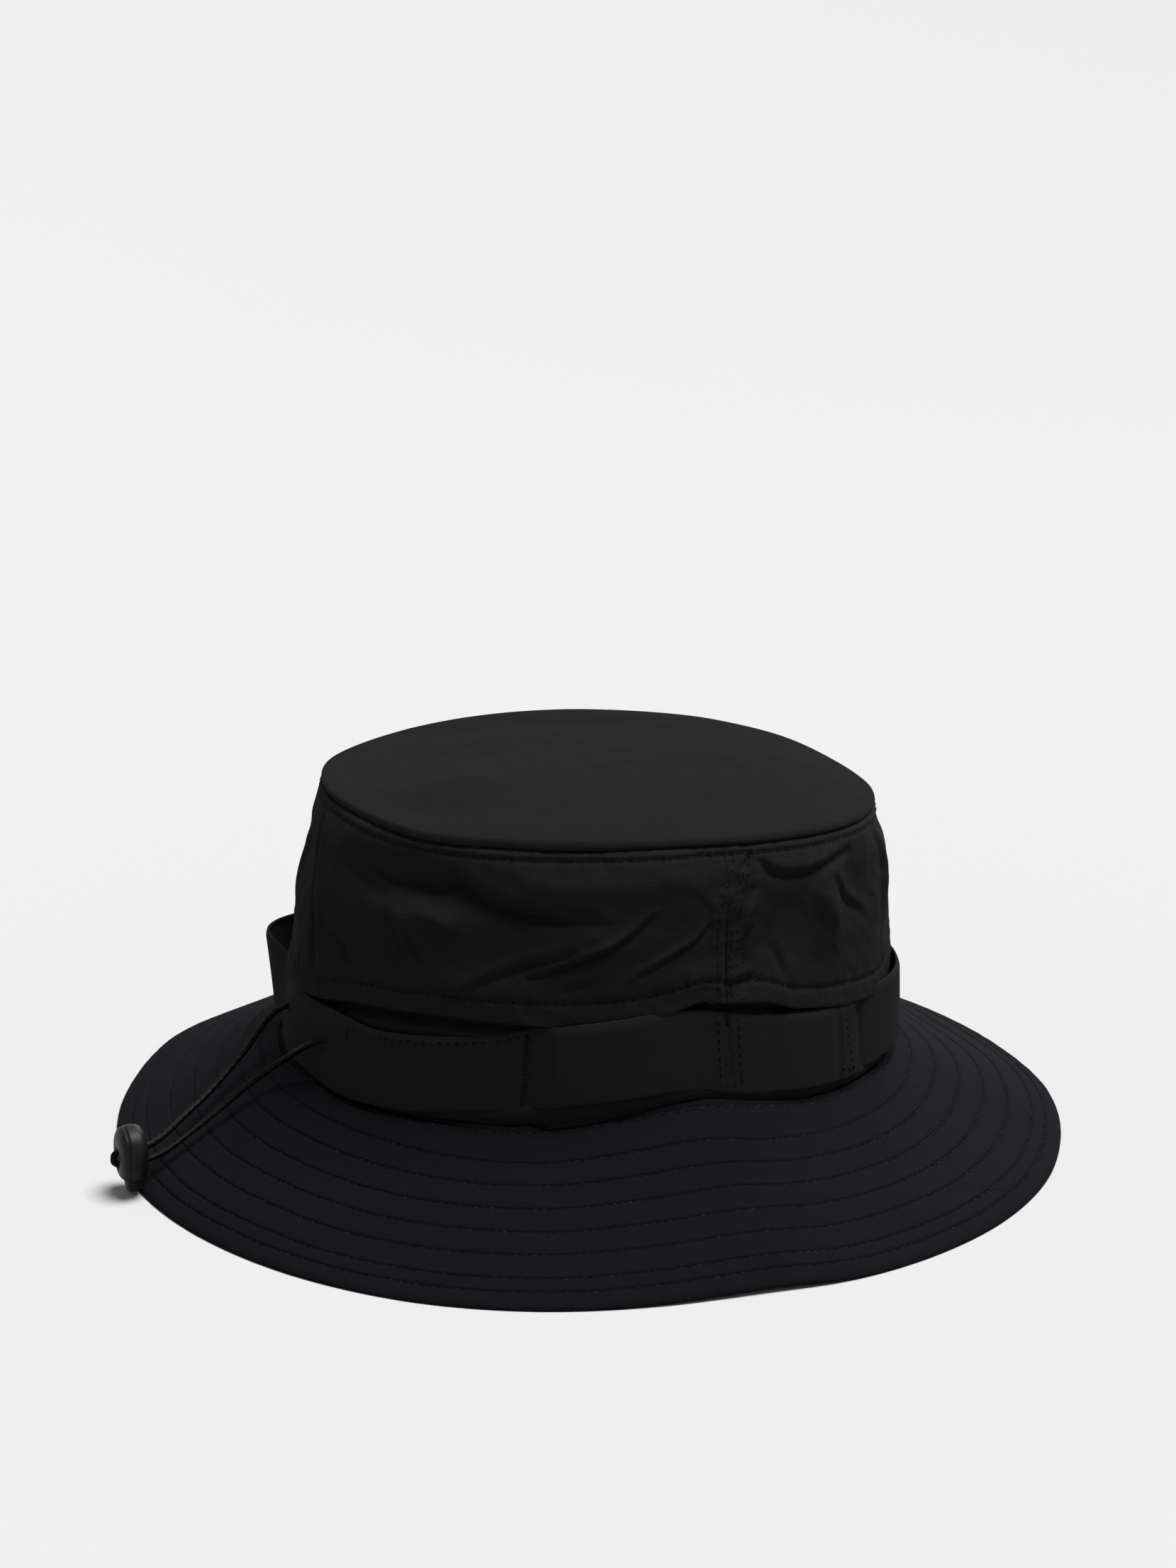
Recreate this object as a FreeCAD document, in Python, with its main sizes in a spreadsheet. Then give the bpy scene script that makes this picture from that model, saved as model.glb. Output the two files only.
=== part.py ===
import FreeCAD, Part
import math
import os

import Sketcher
from FreeCAD import Placement, Rotation, Vector

# Bucket hat with a webbing band, a drawcord and a cord lock.
# Frame: +Z up, the brim's edge on z = 0, the origin under the middle of the hat.
# The back of the hat, where the drawcord comes out, faces +Y. The side seams are at -X and +X.

os.makedirs("parts", exist_ok=True)
doc = FreeCAD.newDocument("bucket_hat")

# ---------------------------------------------------------------- driving dimensions

dims = doc.addObject("Spreadsheet::Sheet", "dims")

DIMENSIONS = [
    # ovals that the hat is built on: half width along X, half length along Y, height
    ("rim_half_width", 160.0),
    ("rim_half_length", 160.0),
    ("join_half_width", 99.0),
    ("join_half_length", 103.5),
    ("join_height", 33.0),
    ("band_low_half_width", 98.0),
    ("band_low_half_length", 102.5),
    ("band_top_half_width", 94.4),
    ("band_top_half_length", 99.2),
    ("band_top_height", 66.0),
    ("hem_half_width", 96.4),
    ("hem_half_length", 101.3),
    ("hem_height", 62.0),
    ("crown_half_width", 88.0),
    ("crown_half_length", 92.0),
    ("crown_height", 116.5),
    ("crown_rise", 3.5),
    ("crown_dome_depth", 20.0),
    # cloth, measured across the crown, and along the radius in the sloping brim
    ("cloth_thickness", 1.2),
    ("brim_cloth_run", 1.6),
    ("brim_under_run", 2.0),
    ("interlining_lift", 1.5),
    # webbing band
    ("webbing_low", 36.5),
    ("webbing_width", 24.0),
    ("webbing_thickness", 1.0),
    ("webbing_gap", 0.15),
    ("tack_pitch", 36.0),
    ("tack_first", 18.0),
    ("tack_width", 1.8),
    ("tack_depth", 0.5),
    ("back_loop_top", 14.0),
    ("back_loop_low", 8.0),
    ("front_loop_top", 3.5),
    ("front_loop_low", 3.2),
    # drawcord, its channel and its two buttonholes
    ("cord_diameter", 2.0),
    ("cord_height", 44.0),
    ("cord_inset", 2.5),
    ("channel_height", 14.0),
    ("channel_depth", 2.7),
    ("tape_thickness", 0.6),
    ("exit_offset", 18.0),
    ("slit_width", 3.0),
    ("slit_height", 7.0),
    ("buttonhole_border", 1.2),
    ("buttonhole_depth", 0.5),
    ("buttonhole_gap", 0.12),
    # lining pieces
    ("sweatband_thickness", 1.0),
    ("sweatband_height", 30.0),
    ("seam_tape_width", 10.0),
    ("top_tape_height", 7.0),
    ("label_width", 30.0),
    ("label_height", 18.0),
    ("label_thickness", 0.4),
    # cord lock, standing just outside the brim's edge behind the hat
    ("lock_x", -10.0),
    ("lock_y", 162.6),
    ("lock_hole_height", 12.0),
    ("lock_half_width", 8.2),
    ("lock_half_depth", 4.7),
    ("lock_half_height", 9.3),
    ("lock_centre_height", 12.9),
    ("lock_foot_height", 5.6),
    ("lock_well_top", 20.4),
    ("strand_spacing", 4.2),
    ("hole_clearance", 0.2),
    ("plunger_half_width", 3.9),
    ("plunger_half_depth", 2.2),
    ("plunger_low", 1.0),
    ("plunger_top", 16.9),
    ("plunger_clearance", 0.1),
    ("press_travel", 2.8),
    ("spring_radius", 1.5),
    ("spring_wire", 0.35),
    ("spring_turns", 3.0),
]

for row, (alias, value) in enumerate(DIMENSIONS, start=1):
    dims.set("A%d" % row, alias)
    dims.set("B%d" % row, str(value))
    dims.setAlias("B%d" % row, alias)
doc.recompute()


def size(alias):
    """A driving dimension as a number, for the few shapes that the sheet can't drive."""
    return float(dims.get(alias))


# ---------------------------------------------------------------- building blocks

LONG_SIDE_ALONG_Y = Rotation(Vector(0, 0, 1), -90)
BIG = 400.0
exported = []


def bind(obj, **expressions):
    """Binds properties to the sheet. A double underscore in a name stands for a dot."""
    for name, text in expressions.items():
        obj.setExpression(name.replace("__", "."), text)
    return obj


def piece(obj, label):
    """Gives a finished sub-part its own label and puts it on the list to export."""
    obj.Label = label
    exported.append(obj)
    return obj


def oval(name, half_width, half_length, height):
    """An ellipse, longer along Y, whose half axes and height are expressions."""
    edge = doc.addObject("Part::Ellipse", name)
    edge.Placement = Placement(Vector(0, 0, 0), LONG_SIDE_ALONG_Y)
    bind(edge, MajorRadius=half_length, MinorRadius=half_width)
    bind(edge, Placement__Base__z=height)
    return edge


def drum(name, low, top, inset="0"):
    """A solid between two ovals, each (half width, half length, height), drawn in by inset."""
    ends = []
    for end, (half_width, half_length, height) in (("low", low), ("top", top)):
        width = "%s - (%s)" % (half_width, inset)
        length = "%s - (%s)" % (half_length, inset)
        ends.append(oval("%s_%s" % (name, end), width, length, height))
    solid = doc.addObject("Part::Loft", name)
    solid.Sections = ends
    solid.Solid = True
    solid.Ruled = True
    return solid


def cut(name, base, tool):
    result = doc.addObject("Part::Cut", name)
    result.Base = base
    result.Tool = tool
    return result


def common(name, base, tool):
    result = doc.addObject("Part::Common", name)
    result.Base = base
    result.Tool = tool
    return result


def ring(name, low, top, outer, inner):
    """A tapering wall between two insets of the same pair of ovals."""
    outside = drum(name + "_outside", low, top, outer)
    inside = drum(name + "_inside", low, top, inner)
    return cut(name, outside, inside)


def block(name, x, y, z, length, width, height, turn=0.0):
    """A box whose corner and sides are expressions. turn is about the frame's Z axis."""
    box = doc.addObject("Part::Box", name)
    box.Placement = Placement(Vector(0, 0, 0), Rotation(Vector(0, 0, 1), turn))
    bind(box, Length=length, Width=width, Height=height)
    bind(box, Placement__Base__x=x, Placement__Base__y=y, Placement__Base__z=z)
    return box


def slab(name, low, height):
    """Everything between two heights."""
    return block(name, "-%g" % BIG, "-%g" % BIG, low, "%g" % (2 * BIG), "%g" % (2 * BIG), height)


def half(name, solid, back):
    """The front or back half of a solid."""
    y = "0" if back else "-%g" % BIG
    low = "-%g" % BIG
    box = block(name + "_side", "-%g" % BIG, y, low, "%g" % (2 * BIG), "%g" % BIG, "%g" % (2 * BIG))
    return common(name, solid, box)


RIM = ("dims.rim_half_width", "dims.rim_half_length", "0")
JOIN = ("dims.join_half_width", "dims.join_half_length", "dims.join_height")
BAND_LOW = ("dims.band_low_half_width", "dims.band_low_half_length", "dims.join_height")
BAND_TOP = ("dims.band_top_half_width", "dims.band_top_half_length", "dims.band_top_height")
HEM = ("dims.hem_half_width", "dims.hem_half_length", "dims.hem_height")
CROWN = ("dims.crown_half_width", "dims.crown_half_length", "dims.crown_height")

# ---------------------------------------------------------------- crown


def crown():
    """Side panel and lower band, each in a front and a back half, and a domed top panel."""
    for label, low, top in (("side", HEM, CROWN), ("band", BAND_LOW, BAND_TOP)):
        for back in (False, True):
            where = "back" if back else "front"
            name = "crown_%s_%s" % (label, where)
            wall = ring(name + "_wall", low, top, "0", "dims.cloth_thickness")
            panel = half(name + "_half", wall, back)
            if name == "crown_band_back":
                panel = cut(name + "_slit", panel, slits("band"))
            piece(panel, name)
    top_panel()


def top_panel():
    """A shallow cap cut from a flattened ball whose slice at the crown's height is the oval."""
    share = "sqrt(1 - (1 - dims.crown_rise / dims.crown_dome_depth)^2)"
    balls = []
    for name, drop in (("dome_outside", "0"), ("dome_inside", "dims.cloth_thickness")):
        ball = doc.addObject("Part::Ellipsoid", name)
        bind(ball, Radius1="dims.crown_dome_depth")
        bind(ball, Radius2="dims.crown_half_width / " + share)
        bind(ball, Radius3="dims.crown_half_length / " + share)
        middle = "dims.crown_height + dims.crown_rise - dims.crown_dome_depth - " + drop
        bind(ball, Placement__Base__z=middle)
        balls.append(ball)
    shell = cut("dome_shell", balls[0], balls[1])
    above = slab("dome_slab", "dims.crown_height", "dims.crown_rise + 1")
    piece(common("dome_cap", shell, above), "crown_top_panel")


def slits(name):
    """Two upright openings that the drawcord comes out through, for cutting a wall."""
    tools = []
    for side in (-1, 1):
        x = "%d * dims.exit_offset - dims.slit_width / 2" % side
        z = "dims.cord_height - dims.slit_height / 2"
        y = "dims.band_top_half_length - 12"
        box = block("%s_slit_%d" % (name, side + 1), x, y, z, "dims.slit_width", "24", "dims.slit_height")
        tools.append(box)
    both = doc.addObject("Part::MultiFuse", name + "_slits")
    both.Shapes = tools
    return both


# ---------------------------------------------------------------- brim


def brim():
    """Upper cloth, interlining and lower cloth, which lie one inside the other down the slope."""
    upper = "dims.brim_cloth_run"
    stiff = "2 * dims.brim_cloth_run"
    under = "2 * dims.brim_cloth_run + dims.brim_under_run"
    piece(ring("upper_ring", RIM, JOIN, "0", upper), "brim_upper")
    lining = ring("interlining_ring", RIM, JOIN, upper, stiff)
    kept = slab("interlining_slab", "dims.interlining_lift", "dims.join_height")
    piece(common("interlining_trim", lining, kept), "brim_interlining")
    piece(ring("lower_ring", RIM, JOIN, stiff, under), "brim_lower")


# ---------------------------------------------------------------- webbing band


def band_axes(height):
    """Half width and half length of the lower band's outside at a height."""
    share = (height - size("join_height")) / (size("band_top_height") - size("join_height"))
    width = size("band_low_half_width")
    length = size("band_low_half_length")
    width += share * (size("band_top_half_width") - width)
    length += share * (size("band_top_half_length") - length)
    return width, length


def around(angle, height, offset):
    """A point off the band's outside, at an angle from the back towards -X, in degrees."""
    width, length = band_axes(height)
    turn = math.radians(angle)
    along = Vector(-width * math.sin(turn), length * math.cos(turn), 0)
    outward = Vector(-length * math.sin(turn), width * math.cos(turn), 0).normalize()
    return Vector(along.x, along.y, height) + outward * offset


def slack(angle, back_loop, front_loop):
    """How far the webbing stands off the band: two segments between tacks are left slack."""
    pitch = size("tack_pitch")
    first = size("tack_first")
    for start, height in ((first - 2 * pitch, back_loop), (first + 3 * pitch, front_loop)):
        share = ((angle - start) % 360.0) / pitch
        if share < 1.0:
            return height * math.sin(math.pi * share) ** 2
    return 0.0


def webbing_edge(height, offset, back_loop, front_loop):
    """One closed edge of the webbing, a smooth curve through twelve points in each segment."""
    step = size("tack_pitch") / 12
    count = round(360.0 / step)
    points = []
    for number in range(count):
        angle = size("tack_first") + number * step
        points.append(around(angle, height, offset + slack(angle, back_loop, front_loop)))
    curve = Part.BSplineCurve()
    curve.interpolate(Points=points, PeriodicFlag=True)
    return curve.toShape()


def webbing():
    """One strip sewn down at the tacks, open between two pairs of them, with slits for the cord."""
    low = size("webbing_low")
    top = low + size("webbing_width")
    gap = size("webbing_gap")
    outside = gap + size("webbing_thickness")
    low_loops = (size("back_loop_low"), size("front_loop_low"))
    top_loops = (size("back_loop_top"), size("front_loop_top"))
    edges = [
        webbing_edge(low, outside, *low_loops),
        webbing_edge(top, outside, *top_loops),
        webbing_edge(top, gap, *top_loops),
        webbing_edge(low, gap, *low_loops),
    ]
    faces = []
    for number, edge in enumerate(edges):
        faces.append(Part.makeRuledSurface(edge, edges[(number + 1) % len(edges)]))
    solid = Part.makeSolid(Part.makeShell([face for part in faces for face in part.Faces]))
    if solid.Volume < 0:
        solid.reverse()
    strip = doc.addObject("Part::Feature", "webbing_strip")
    strip.Shape = solid
    piece(cut("webbing_slit", strip, slits("webbing")), "webbing_band")


def tacks():
    """A bar of thread at every tack, standing on the webbing."""
    face = "-(dims.webbing_gap + dims.webbing_thickness)"
    top = "%s - dims.tack_depth" % face
    wall = ring("tack_wall", BAND_LOW, BAND_TOP, top, face)
    bars = []
    for number in range(round(360.0 / size("tack_pitch"))):
        angle = size("tack_first") + number * size("tack_pitch")
        foot = around(angle, size("webbing_low"), 0.0)
        bar = doc.addObject("Part::Box", "tack_%d" % number)
        bind(bar, Length="dims.tack_width", Width="20", Height="dims.webbing_width - 1")
        facing = math.degrees(math.atan2(foot.y, foot.x)) - 90.0
        bar.Placement = Placement(foot, Rotation(Vector(0, 0, 1), facing))
        shift = bar.Placement.Rotation.multVec(Vector(-size("tack_width") / 2, -10, 0.5))
        bar.Placement.Base = foot + shift
        bars.append(bar)
    group = doc.addObject("Part::MultiFuse", "tack_bars")
    group.Shapes = bars
    piece(common("tack_group", wall, group), "webbing_tacks")


# ---------------------------------------------------------------- drawcord


def tube(name, points, diameter):
    """A round cord along straight runs joined by tangent arcs as large as the runs allow."""
    edges = []
    start = points[0]
    radii = []
    for number in range(1, len(points) - 1):
        before, here, after = points[number - 1 : number + 2]
        first = (here - before).normalize()
        second = (after - here).normalize()
        turn = first.getAngle(second)
        run = min((here - before).Length, (after - here).Length)
        reach = 0.45 * run
        radii.append(reach / math.tan(turn / 2))
        enter = here - first * reach
        leave = here + second * reach
        inward = (second - first).normalize()
        middle = here + inward * (radii[-1] * (1 / math.cos(turn / 2) - 1))
        edges.append(Part.LineSegment(start, enter).toShape())
        edges.append(Part.Arc(enter, middle, leave).toShape())
        start = leave
    edges.append(Part.LineSegment(start, points[-1]).toShape())
    path = Part.Wire(edges)
    tangent = (points[1] - points[0]).normalize()
    section = Part.Wire([Part.makeCircle(diameter / 2, points[0], tangent)])
    solid = path.makePipeShell([section], True, True)
    volume = math.pi * diameter**2 / 4 * path.Length
    share = solid.Volume / volume
    print("%s: length %.1f, smallest radius %.1f, volume share %.4f" % (name, path.Length, min(radii), share))
    cord = doc.addObject("Part::Feature", name + "_tube")
    cord.Shape = solid
    return piece(cord, name)


# The free cord, from the buttonhole on the +X side, through the lock and back to the other one.
CORD_ROUTE = [
    (18.0, 97.4, 44.0),
    (18.2, 103.6, 43.8),
    (18.6, 108.4, 39.6),
    (18.2, 114.0, 32.4),
    (15.4, 121.6, 26.4),
    (10.6, 131.4, 20.2),
    (4.0, 141.6, 16.6),
    (-4.6, 150.6, 14.6),
    (-9.9, 157.4, 14.1),
    (-10.0, 163.2, 14.1),
    (-10.0, 168.4, 14.1),
    (-10.0, 168.4, 9.9),
    (-10.0, 163.0, 9.9),
    (-10.1, 157.0, 9.95),
    (-8.4, 150.2, 11.4),
    (-5.4, 142.0, 14.8),
    (-2.6, 132.6, 19.0),
    (-1.4, 122.8, 25.0),
    (-3.4, 114.0, 31.4),
    (-8.6, 108.0, 37.2),
    (-14.4, 105.6, 41.4),
    (-18.2, 102.6, 43.8),
    (-18.0, 97.4, 44.0),
]


def drawcord():
    """One cord: most of it inside the channel round the head, and a loop that hangs out behind."""
    diameter = size("cord_diameter")
    height = size("cord_height")
    inset = -size("cord_inset")
    width, length = band_axes(height)
    gap = math.degrees(math.asin((size("exit_offset") - 1.0) / width))
    count = 48
    points = []
    for number in range(count + 1):
        angle = gap + (360.0 - 2 * gap) * number / count
        points.append(around(angle, height, inset))
    tube("drawcord_in_channel", points, diameter)
    tube("drawcord_loop", [Vector(*point) for point in CORD_ROUTE], diameter)


# ---------------------------------------------------------------- sketched pieces


def stadium(body, name, plane_role, radius, spacing):
    """A fully constrained outline of two round ends, one above the other, and two straight sides."""
    sketch = body.newObject("Sketcher::SketchObject", name)
    plane = [one for one in body.Origin.OriginFeatures if one.Role == plane_role][0]
    sketch.AttachmentSupport = (plane, [""])
    sketch.MapMode = "FlatFace"
    up = Vector(0, 2, 0)
    side = Vector(1, 0, 0)
    normal = Vector(0, 0, 1)
    sketch.addGeometry(Part.ArcOfCircle(Part.Circle(up, normal, 1), 0, math.pi))
    sketch.addGeometry(Part.LineSegment(up - side, -up - side))
    sketch.addGeometry(Part.ArcOfCircle(Part.Circle(-up, normal, 1), math.pi, 2 * math.pi))
    sketch.addGeometry(Part.LineSegment(-up + side, up + side))
    for number in range(4):
        follower = (number + 1) % 4
        sketch.addConstraint(Sketcher.Constraint("Tangent", number, 2, follower, 1))
    sketch.addConstraint(Sketcher.Constraint("Equal", 0, 2))
    sketch.addConstraint(Sketcher.Constraint("PointOnObject", 0, 3, -2))
    sketch.addConstraint(Sketcher.Constraint("Symmetric", 0, 3, 2, 3, -1, 1))
    end = sketch.addConstraint(Sketcher.Constraint("Radius", 0, 1.0))
    between = sketch.addConstraint(Sketcher.Constraint("DistanceY", 2, 3, 0, 3, 4.0))
    sketch.renameConstraint(end, "end_radius")
    sketch.renameConstraint(between, "end_spacing")
    sketch.setExpression("Constraints.end_radius", radius)
    sketch.setExpression("Constraints.end_spacing", spacing)
    return sketch


def post(name, radius, spacing, height):
    """A body that stands on z = 0, with a stadium section that is long along Y."""
    body = doc.addObject("PartDesign::Body", name)
    outline = stadium(body, name + "_outline", "XY_Plane", radius, spacing)
    pad = body.newObject("PartDesign::Pad", name + "_pad")
    pad.Profile = outline
    pad.setExpression("Length", height)
    return body


def buttonhole(label, side):
    """A thread border round a slit: a plate with round ends, with the slit cut through it."""
    body = doc.addObject("PartDesign::Body", label + "_body")
    border = stadium(
        body,
        label + "_border",
        "XZ_Plane",
        "dims.slit_width / 2 + dims.buttonhole_border",
        "dims.slit_height - dims.slit_width",
    )
    pad = body.newObject("PartDesign::Pad", label + "_pad")
    pad.Profile = border
    pad.setExpression("Length", "dims.buttonhole_depth")
    opening = stadium(
        body,
        label + "_opening",
        "XZ_Plane",
        "dims.slit_width / 2",
        "dims.slit_height - dims.slit_width",
    )
    doc.recompute()
    pocket = body.newObject("PartDesign::Pocket", label + "_pocket")
    pocket.Profile = opening
    pocket.Type = "ThroughAll"
    pocket.Midplane = True
    height = size("cord_height")
    width, length = band_axes(height)
    x = side * size("exit_offset")
    angle = math.degrees(math.asin(-x / width))
    skin = size("webbing_gap") + size("webbing_thickness")
    seat = around(angle, height, skin + size("buttonhole_depth") + size("buttonhole_gap"))
    low = around(angle, height - 1, 0)
    high = around(angle, height + 1, 0)
    lean = math.degrees(math.atan2(low.y - high.y, 2))
    flat = around(angle, height, 1) - around(angle, height, 0)
    facing = math.degrees(math.atan2(flat.y, flat.x)) - 90.0
    turn = Rotation(Vector(0, 0, 1), facing).multiply(Rotation(Vector(1, 0, 0), lean))
    body.Placement = Placement(seat, turn)
    piece(body, label)


# ---------------------------------------------------------------- lining pieces


def lining():
    """Channel tape, sweatband, seam tapes and a blank label, all inside the crown."""
    cloth = "dims.cloth_thickness"
    channel = cloth + " + dims.channel_depth"
    lined = channel + " + dims.tape_thickness"
    band = lined + " + dims.sweatband_thickness"
    tape_wall = ring("tape_wall", BAND_LOW, BAND_TOP, cloth, lined)
    room = ring("tape_room", BAND_LOW, BAND_TOP, "0", channel)
    middle = "dims.cord_height - dims.channel_height / 2"
    tape_slab = slab("tape_slab", middle, "dims.channel_height")
    room_slab = slab("room_slab", middle + " + 2", "dims.channel_height - 4")
    tape = common("tape_trim", tape_wall, tape_slab)
    tunnel = common("room_trim", room, room_slab)
    piece(cut("tape_tunnel", tape, tunnel), "drawcord_channel_tape")

    sweat = ring("sweat_wall", BAND_LOW, BAND_TOP, lined, band)
    sweat_slab = slab("sweat_slab", "dims.join_height", "dims.sweatband_height")
    piece(common("sweat_trim", sweat, sweat_slab), "sweatband")

    patch = ring("label_wall", BAND_LOW, BAND_TOP, band, band + " + dims.label_thickness")
    x = "-dims.label_width / 2"
    y = "-dims.band_low_half_length"
    z = "dims.cord_height - dims.label_height / 2"
    window = block("label_box", x, y, z, "dims.label_width", "30", "dims.label_height")
    piece(common("label_trim", patch, window), "care_label")

    seam = ring("seam_wall", HEM, CROWN, cloth, cloth + " + dims.tape_thickness")
    tape_top = slab("top_tape_slab", "dims.crown_height - dims.top_tape_height", "dims.top_tape_height")
    piece(common("top_tape_trim", seam, tape_top), "top_seam_tape")
    for label, x in (("left", "-%g" % BIG), ("right", "0")):
        z = "dims.band_top_height"
        height = "dims.crown_height - dims.top_tape_height - dims.band_top_height"
        y = "-dims.seam_tape_width / 2"
        strip = block("seam_box_" + label, x, y, z, "%g" % BIG, "dims.seam_tape_width", height)
        piece(common("seam_trim_" + label, seam, strip), "side_seam_tape_" + label)


# ---------------------------------------------------------------- cord lock

LYING_ACROSS = Rotation(Vector(0, 0, 1), 90)


def stand(obj, height):
    """Puts a lock piece on the lock's axis, at a height, with its long side along X."""
    obj.Placement = Placement(Vector(0, 0, 0), LYING_ACROSS)
    bind(obj, Placement__Base__x="dims.lock_x", Placement__Base__y="dims.lock_y")
    bind(obj, Placement__Base__z=height)
    return obj


def hole_half_height():
    return "(dims.strand_spacing / 2 + dims.cord_diameter / 2 + dims.hole_clearance)"


def cord_lock():
    """A pebble with an oval hole for both strands, and a sprung plunger that rises into it."""
    ball = doc.addObject("Part::Ellipsoid", "pebble")
    bind(ball, Radius1="dims.lock_half_height")
    bind(ball, Radius2="dims.lock_half_width")
    bind(ball, Radius3="dims.lock_half_depth")
    bind(ball, Placement__Base__x="dims.lock_x", Placement__Base__y="dims.lock_y")
    bind(ball, Placement__Base__z="dims.lock_centre_height")
    foot = slab("pebble_foot", "dims.lock_foot_height", "2 * dims.lock_half_height")
    shell = common("pebble_shell", ball, foot)

    end = "dims.plunger_half_depth"
    spacing = "2 * (dims.plunger_half_width - dims.plunger_half_depth)"
    roomy = end + " + dims.plunger_clearance"
    well = post("lock_well", roomy, spacing, "dims.lock_well_top - dims.plunger_low")
    stand(well, "dims.plunger_low")

    bore = doc.addObject("PartDesign::Body", "lock_bore")
    radius = "dims.cord_diameter / 2 + 3 * dims.hole_clearance"
    tall = "2 * (%s - (%s))" % (hole_half_height(), radius)
    pad = bore.newObject("PartDesign::Pad", "lock_bore_pad")
    pad.Profile = stadium(bore, "lock_bore_outline", "YZ_Plane", radius, tall)
    pad.setExpression("Length", "4 * dims.lock_half_depth")
    pad.Midplane = True
    stand(bore, "dims.lock_hole_height")
    hollow = cut("pebble_hollow", shell, well)
    piece(cut("pebble_bored", hollow, bore), "cord_lock_body")

    plunger = post("plunger_post", end, spacing, "dims.plunger_top - dims.plunger_low")
    window = "dims.press_travel / 2"
    opening = stadium(plunger, "plunger_window", "YZ_Plane", radius, tall + " + dims.press_travel")
    middle = "dims.lock_hole_height - %s - dims.plunger_low" % window
    opening.setExpression("AttachmentOffset.Base.y", middle)
    doc.recompute()
    pocket = plunger.newObject("PartDesign::Pocket", "plunger_window_cut")
    pocket.Profile = opening
    pocket.Type = "ThroughAll"
    pocket.Midplane = True
    stand(plunger, "dims.plunger_low")
    piece(plunger, "cord_lock_plunger")

    helix = doc.addObject("Part::Helix", "spring_line")
    bind(helix, Radius="dims.spring_radius")
    free = "dims.lock_well_top - dims.plunger_top - dims.spring_wire - 0.1"
    bind(helix, Height=free)
    bind(helix, Pitch="(%s) / dims.spring_turns" % free)
    wire = doc.addObject("Part::Circle", "spring_section")
    wire.Placement = Placement(Vector(0, 0, 0), Rotation(Vector(1, 0, 0), 90))
    bind(wire, Radius="dims.spring_wire / 2")
    bind(wire, Placement__Base__x="dims.spring_radius")
    coil = doc.addObject("Part::Sweep", "spring_coil")
    coil.Sections = [wire]
    coil.Spine = (helix, ["Edge1"])
    coil.Solid = True
    coil.Frenet = True
    stand(coil, "dims.plunger_top + dims.spring_wire / 2 + 0.05")
    piece(coil, "cord_lock_spring")


# ---------------------------------------------------------------- build, check and export

crown()
brim()
webbing()
tacks()
lining()
buttonhole("cord_buttonhole_left", -1)
buttonhole("cord_buttonhole_right", 1)
drawcord()
cord_lock()
doc.recompute()

for obj in doc.Objects:
    if "Invalid" in obj.State or "Error" in obj.State:
        raise RuntimeError("%s did not recompute: %s" % (obj.Name, obj.State))

for obj in exported:
    if obj.Shape.isNull() or not obj.Shape.isValid() or not obj.Shape.Solids:
        raise RuntimeError("%s has no sound shape" % obj.Label)

for obj in exported:
    obj.Shape.exportStep("parts/%s.step" % obj.Label)
    print("%-24s solids %2d  volume %9.1f mm3" % (obj.Label, len(obj.Shape.Solids), obj.Shape.Volume))
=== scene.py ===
import math

import bpy
import numpy as np
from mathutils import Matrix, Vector


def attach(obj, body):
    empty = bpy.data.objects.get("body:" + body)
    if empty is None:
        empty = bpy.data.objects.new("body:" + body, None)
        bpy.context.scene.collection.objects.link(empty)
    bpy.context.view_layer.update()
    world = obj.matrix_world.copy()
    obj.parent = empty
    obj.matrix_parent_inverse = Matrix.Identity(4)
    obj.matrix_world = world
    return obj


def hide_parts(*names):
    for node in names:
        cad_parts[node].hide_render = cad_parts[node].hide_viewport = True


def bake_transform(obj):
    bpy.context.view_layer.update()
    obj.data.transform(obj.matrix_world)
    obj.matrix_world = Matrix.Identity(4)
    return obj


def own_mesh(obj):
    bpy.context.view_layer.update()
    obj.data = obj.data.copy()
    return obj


# Bucket hat with a webbing band, a drawcord and a cord lock. Angles go round the hat in degrees
# from the back (+Y) towards -X, so the front is at 180 and the sides at 90 and -90.

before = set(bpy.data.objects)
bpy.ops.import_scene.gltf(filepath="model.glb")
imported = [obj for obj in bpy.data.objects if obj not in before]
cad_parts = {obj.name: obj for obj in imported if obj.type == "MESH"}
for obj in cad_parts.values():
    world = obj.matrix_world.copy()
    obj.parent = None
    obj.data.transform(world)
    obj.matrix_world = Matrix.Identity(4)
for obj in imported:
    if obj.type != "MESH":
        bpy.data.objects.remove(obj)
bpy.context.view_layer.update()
MM = 0.001
rng = np.random.default_rng(7)

# ---- camera

CAMERA_TURN = math.radians(-115.0)
CAMERA_REACH = 0.815
CAMERA_HEIGHT = 0.322
AIM_HEIGHT = 0.1125


def added(name, data):
    """A new object in the scene."""
    obj = bpy.data.objects.new(name, data)
    bpy.context.collection.objects.link(obj)
    return obj


camera_data = bpy.data.cameras.new("camera")
camera_data.lens = 57.94
camera_data.sensor_width = 36.0
camera_data.clip_start = 0.01
camera = added("camera", camera_data)
east, north = math.sin(CAMERA_TURN), -math.cos(CAMERA_TURN)
camera.location = (CAMERA_REACH * east, CAMERA_REACH * north, CAMERA_HEIGHT)
aim = Vector((0, 0, AIM_HEIGHT)) - camera.location
camera.rotation_euler = aim.to_track_quat("-Z", "Y").to_euler()
bpy.context.scene.camera = camera

# ---- small helpers


def smooth(low, high, value):
    """From 0 at low to 1 at high, without corners."""
    share = np.clip((value - low) / (high - low), 0.0, 1.0)
    return share * share * (3 - 2 * share)


def hump(value, middle, width):
    """1 at the middle, falling off smoothly over the width."""
    return np.exp(-(((value - middle) / width) ** 2))


def wrapped(degrees):
    """The same angles, between -180 and 180."""
    return (np.asarray(degrees, float) + 180.0) % 360.0 - 180.0


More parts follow.
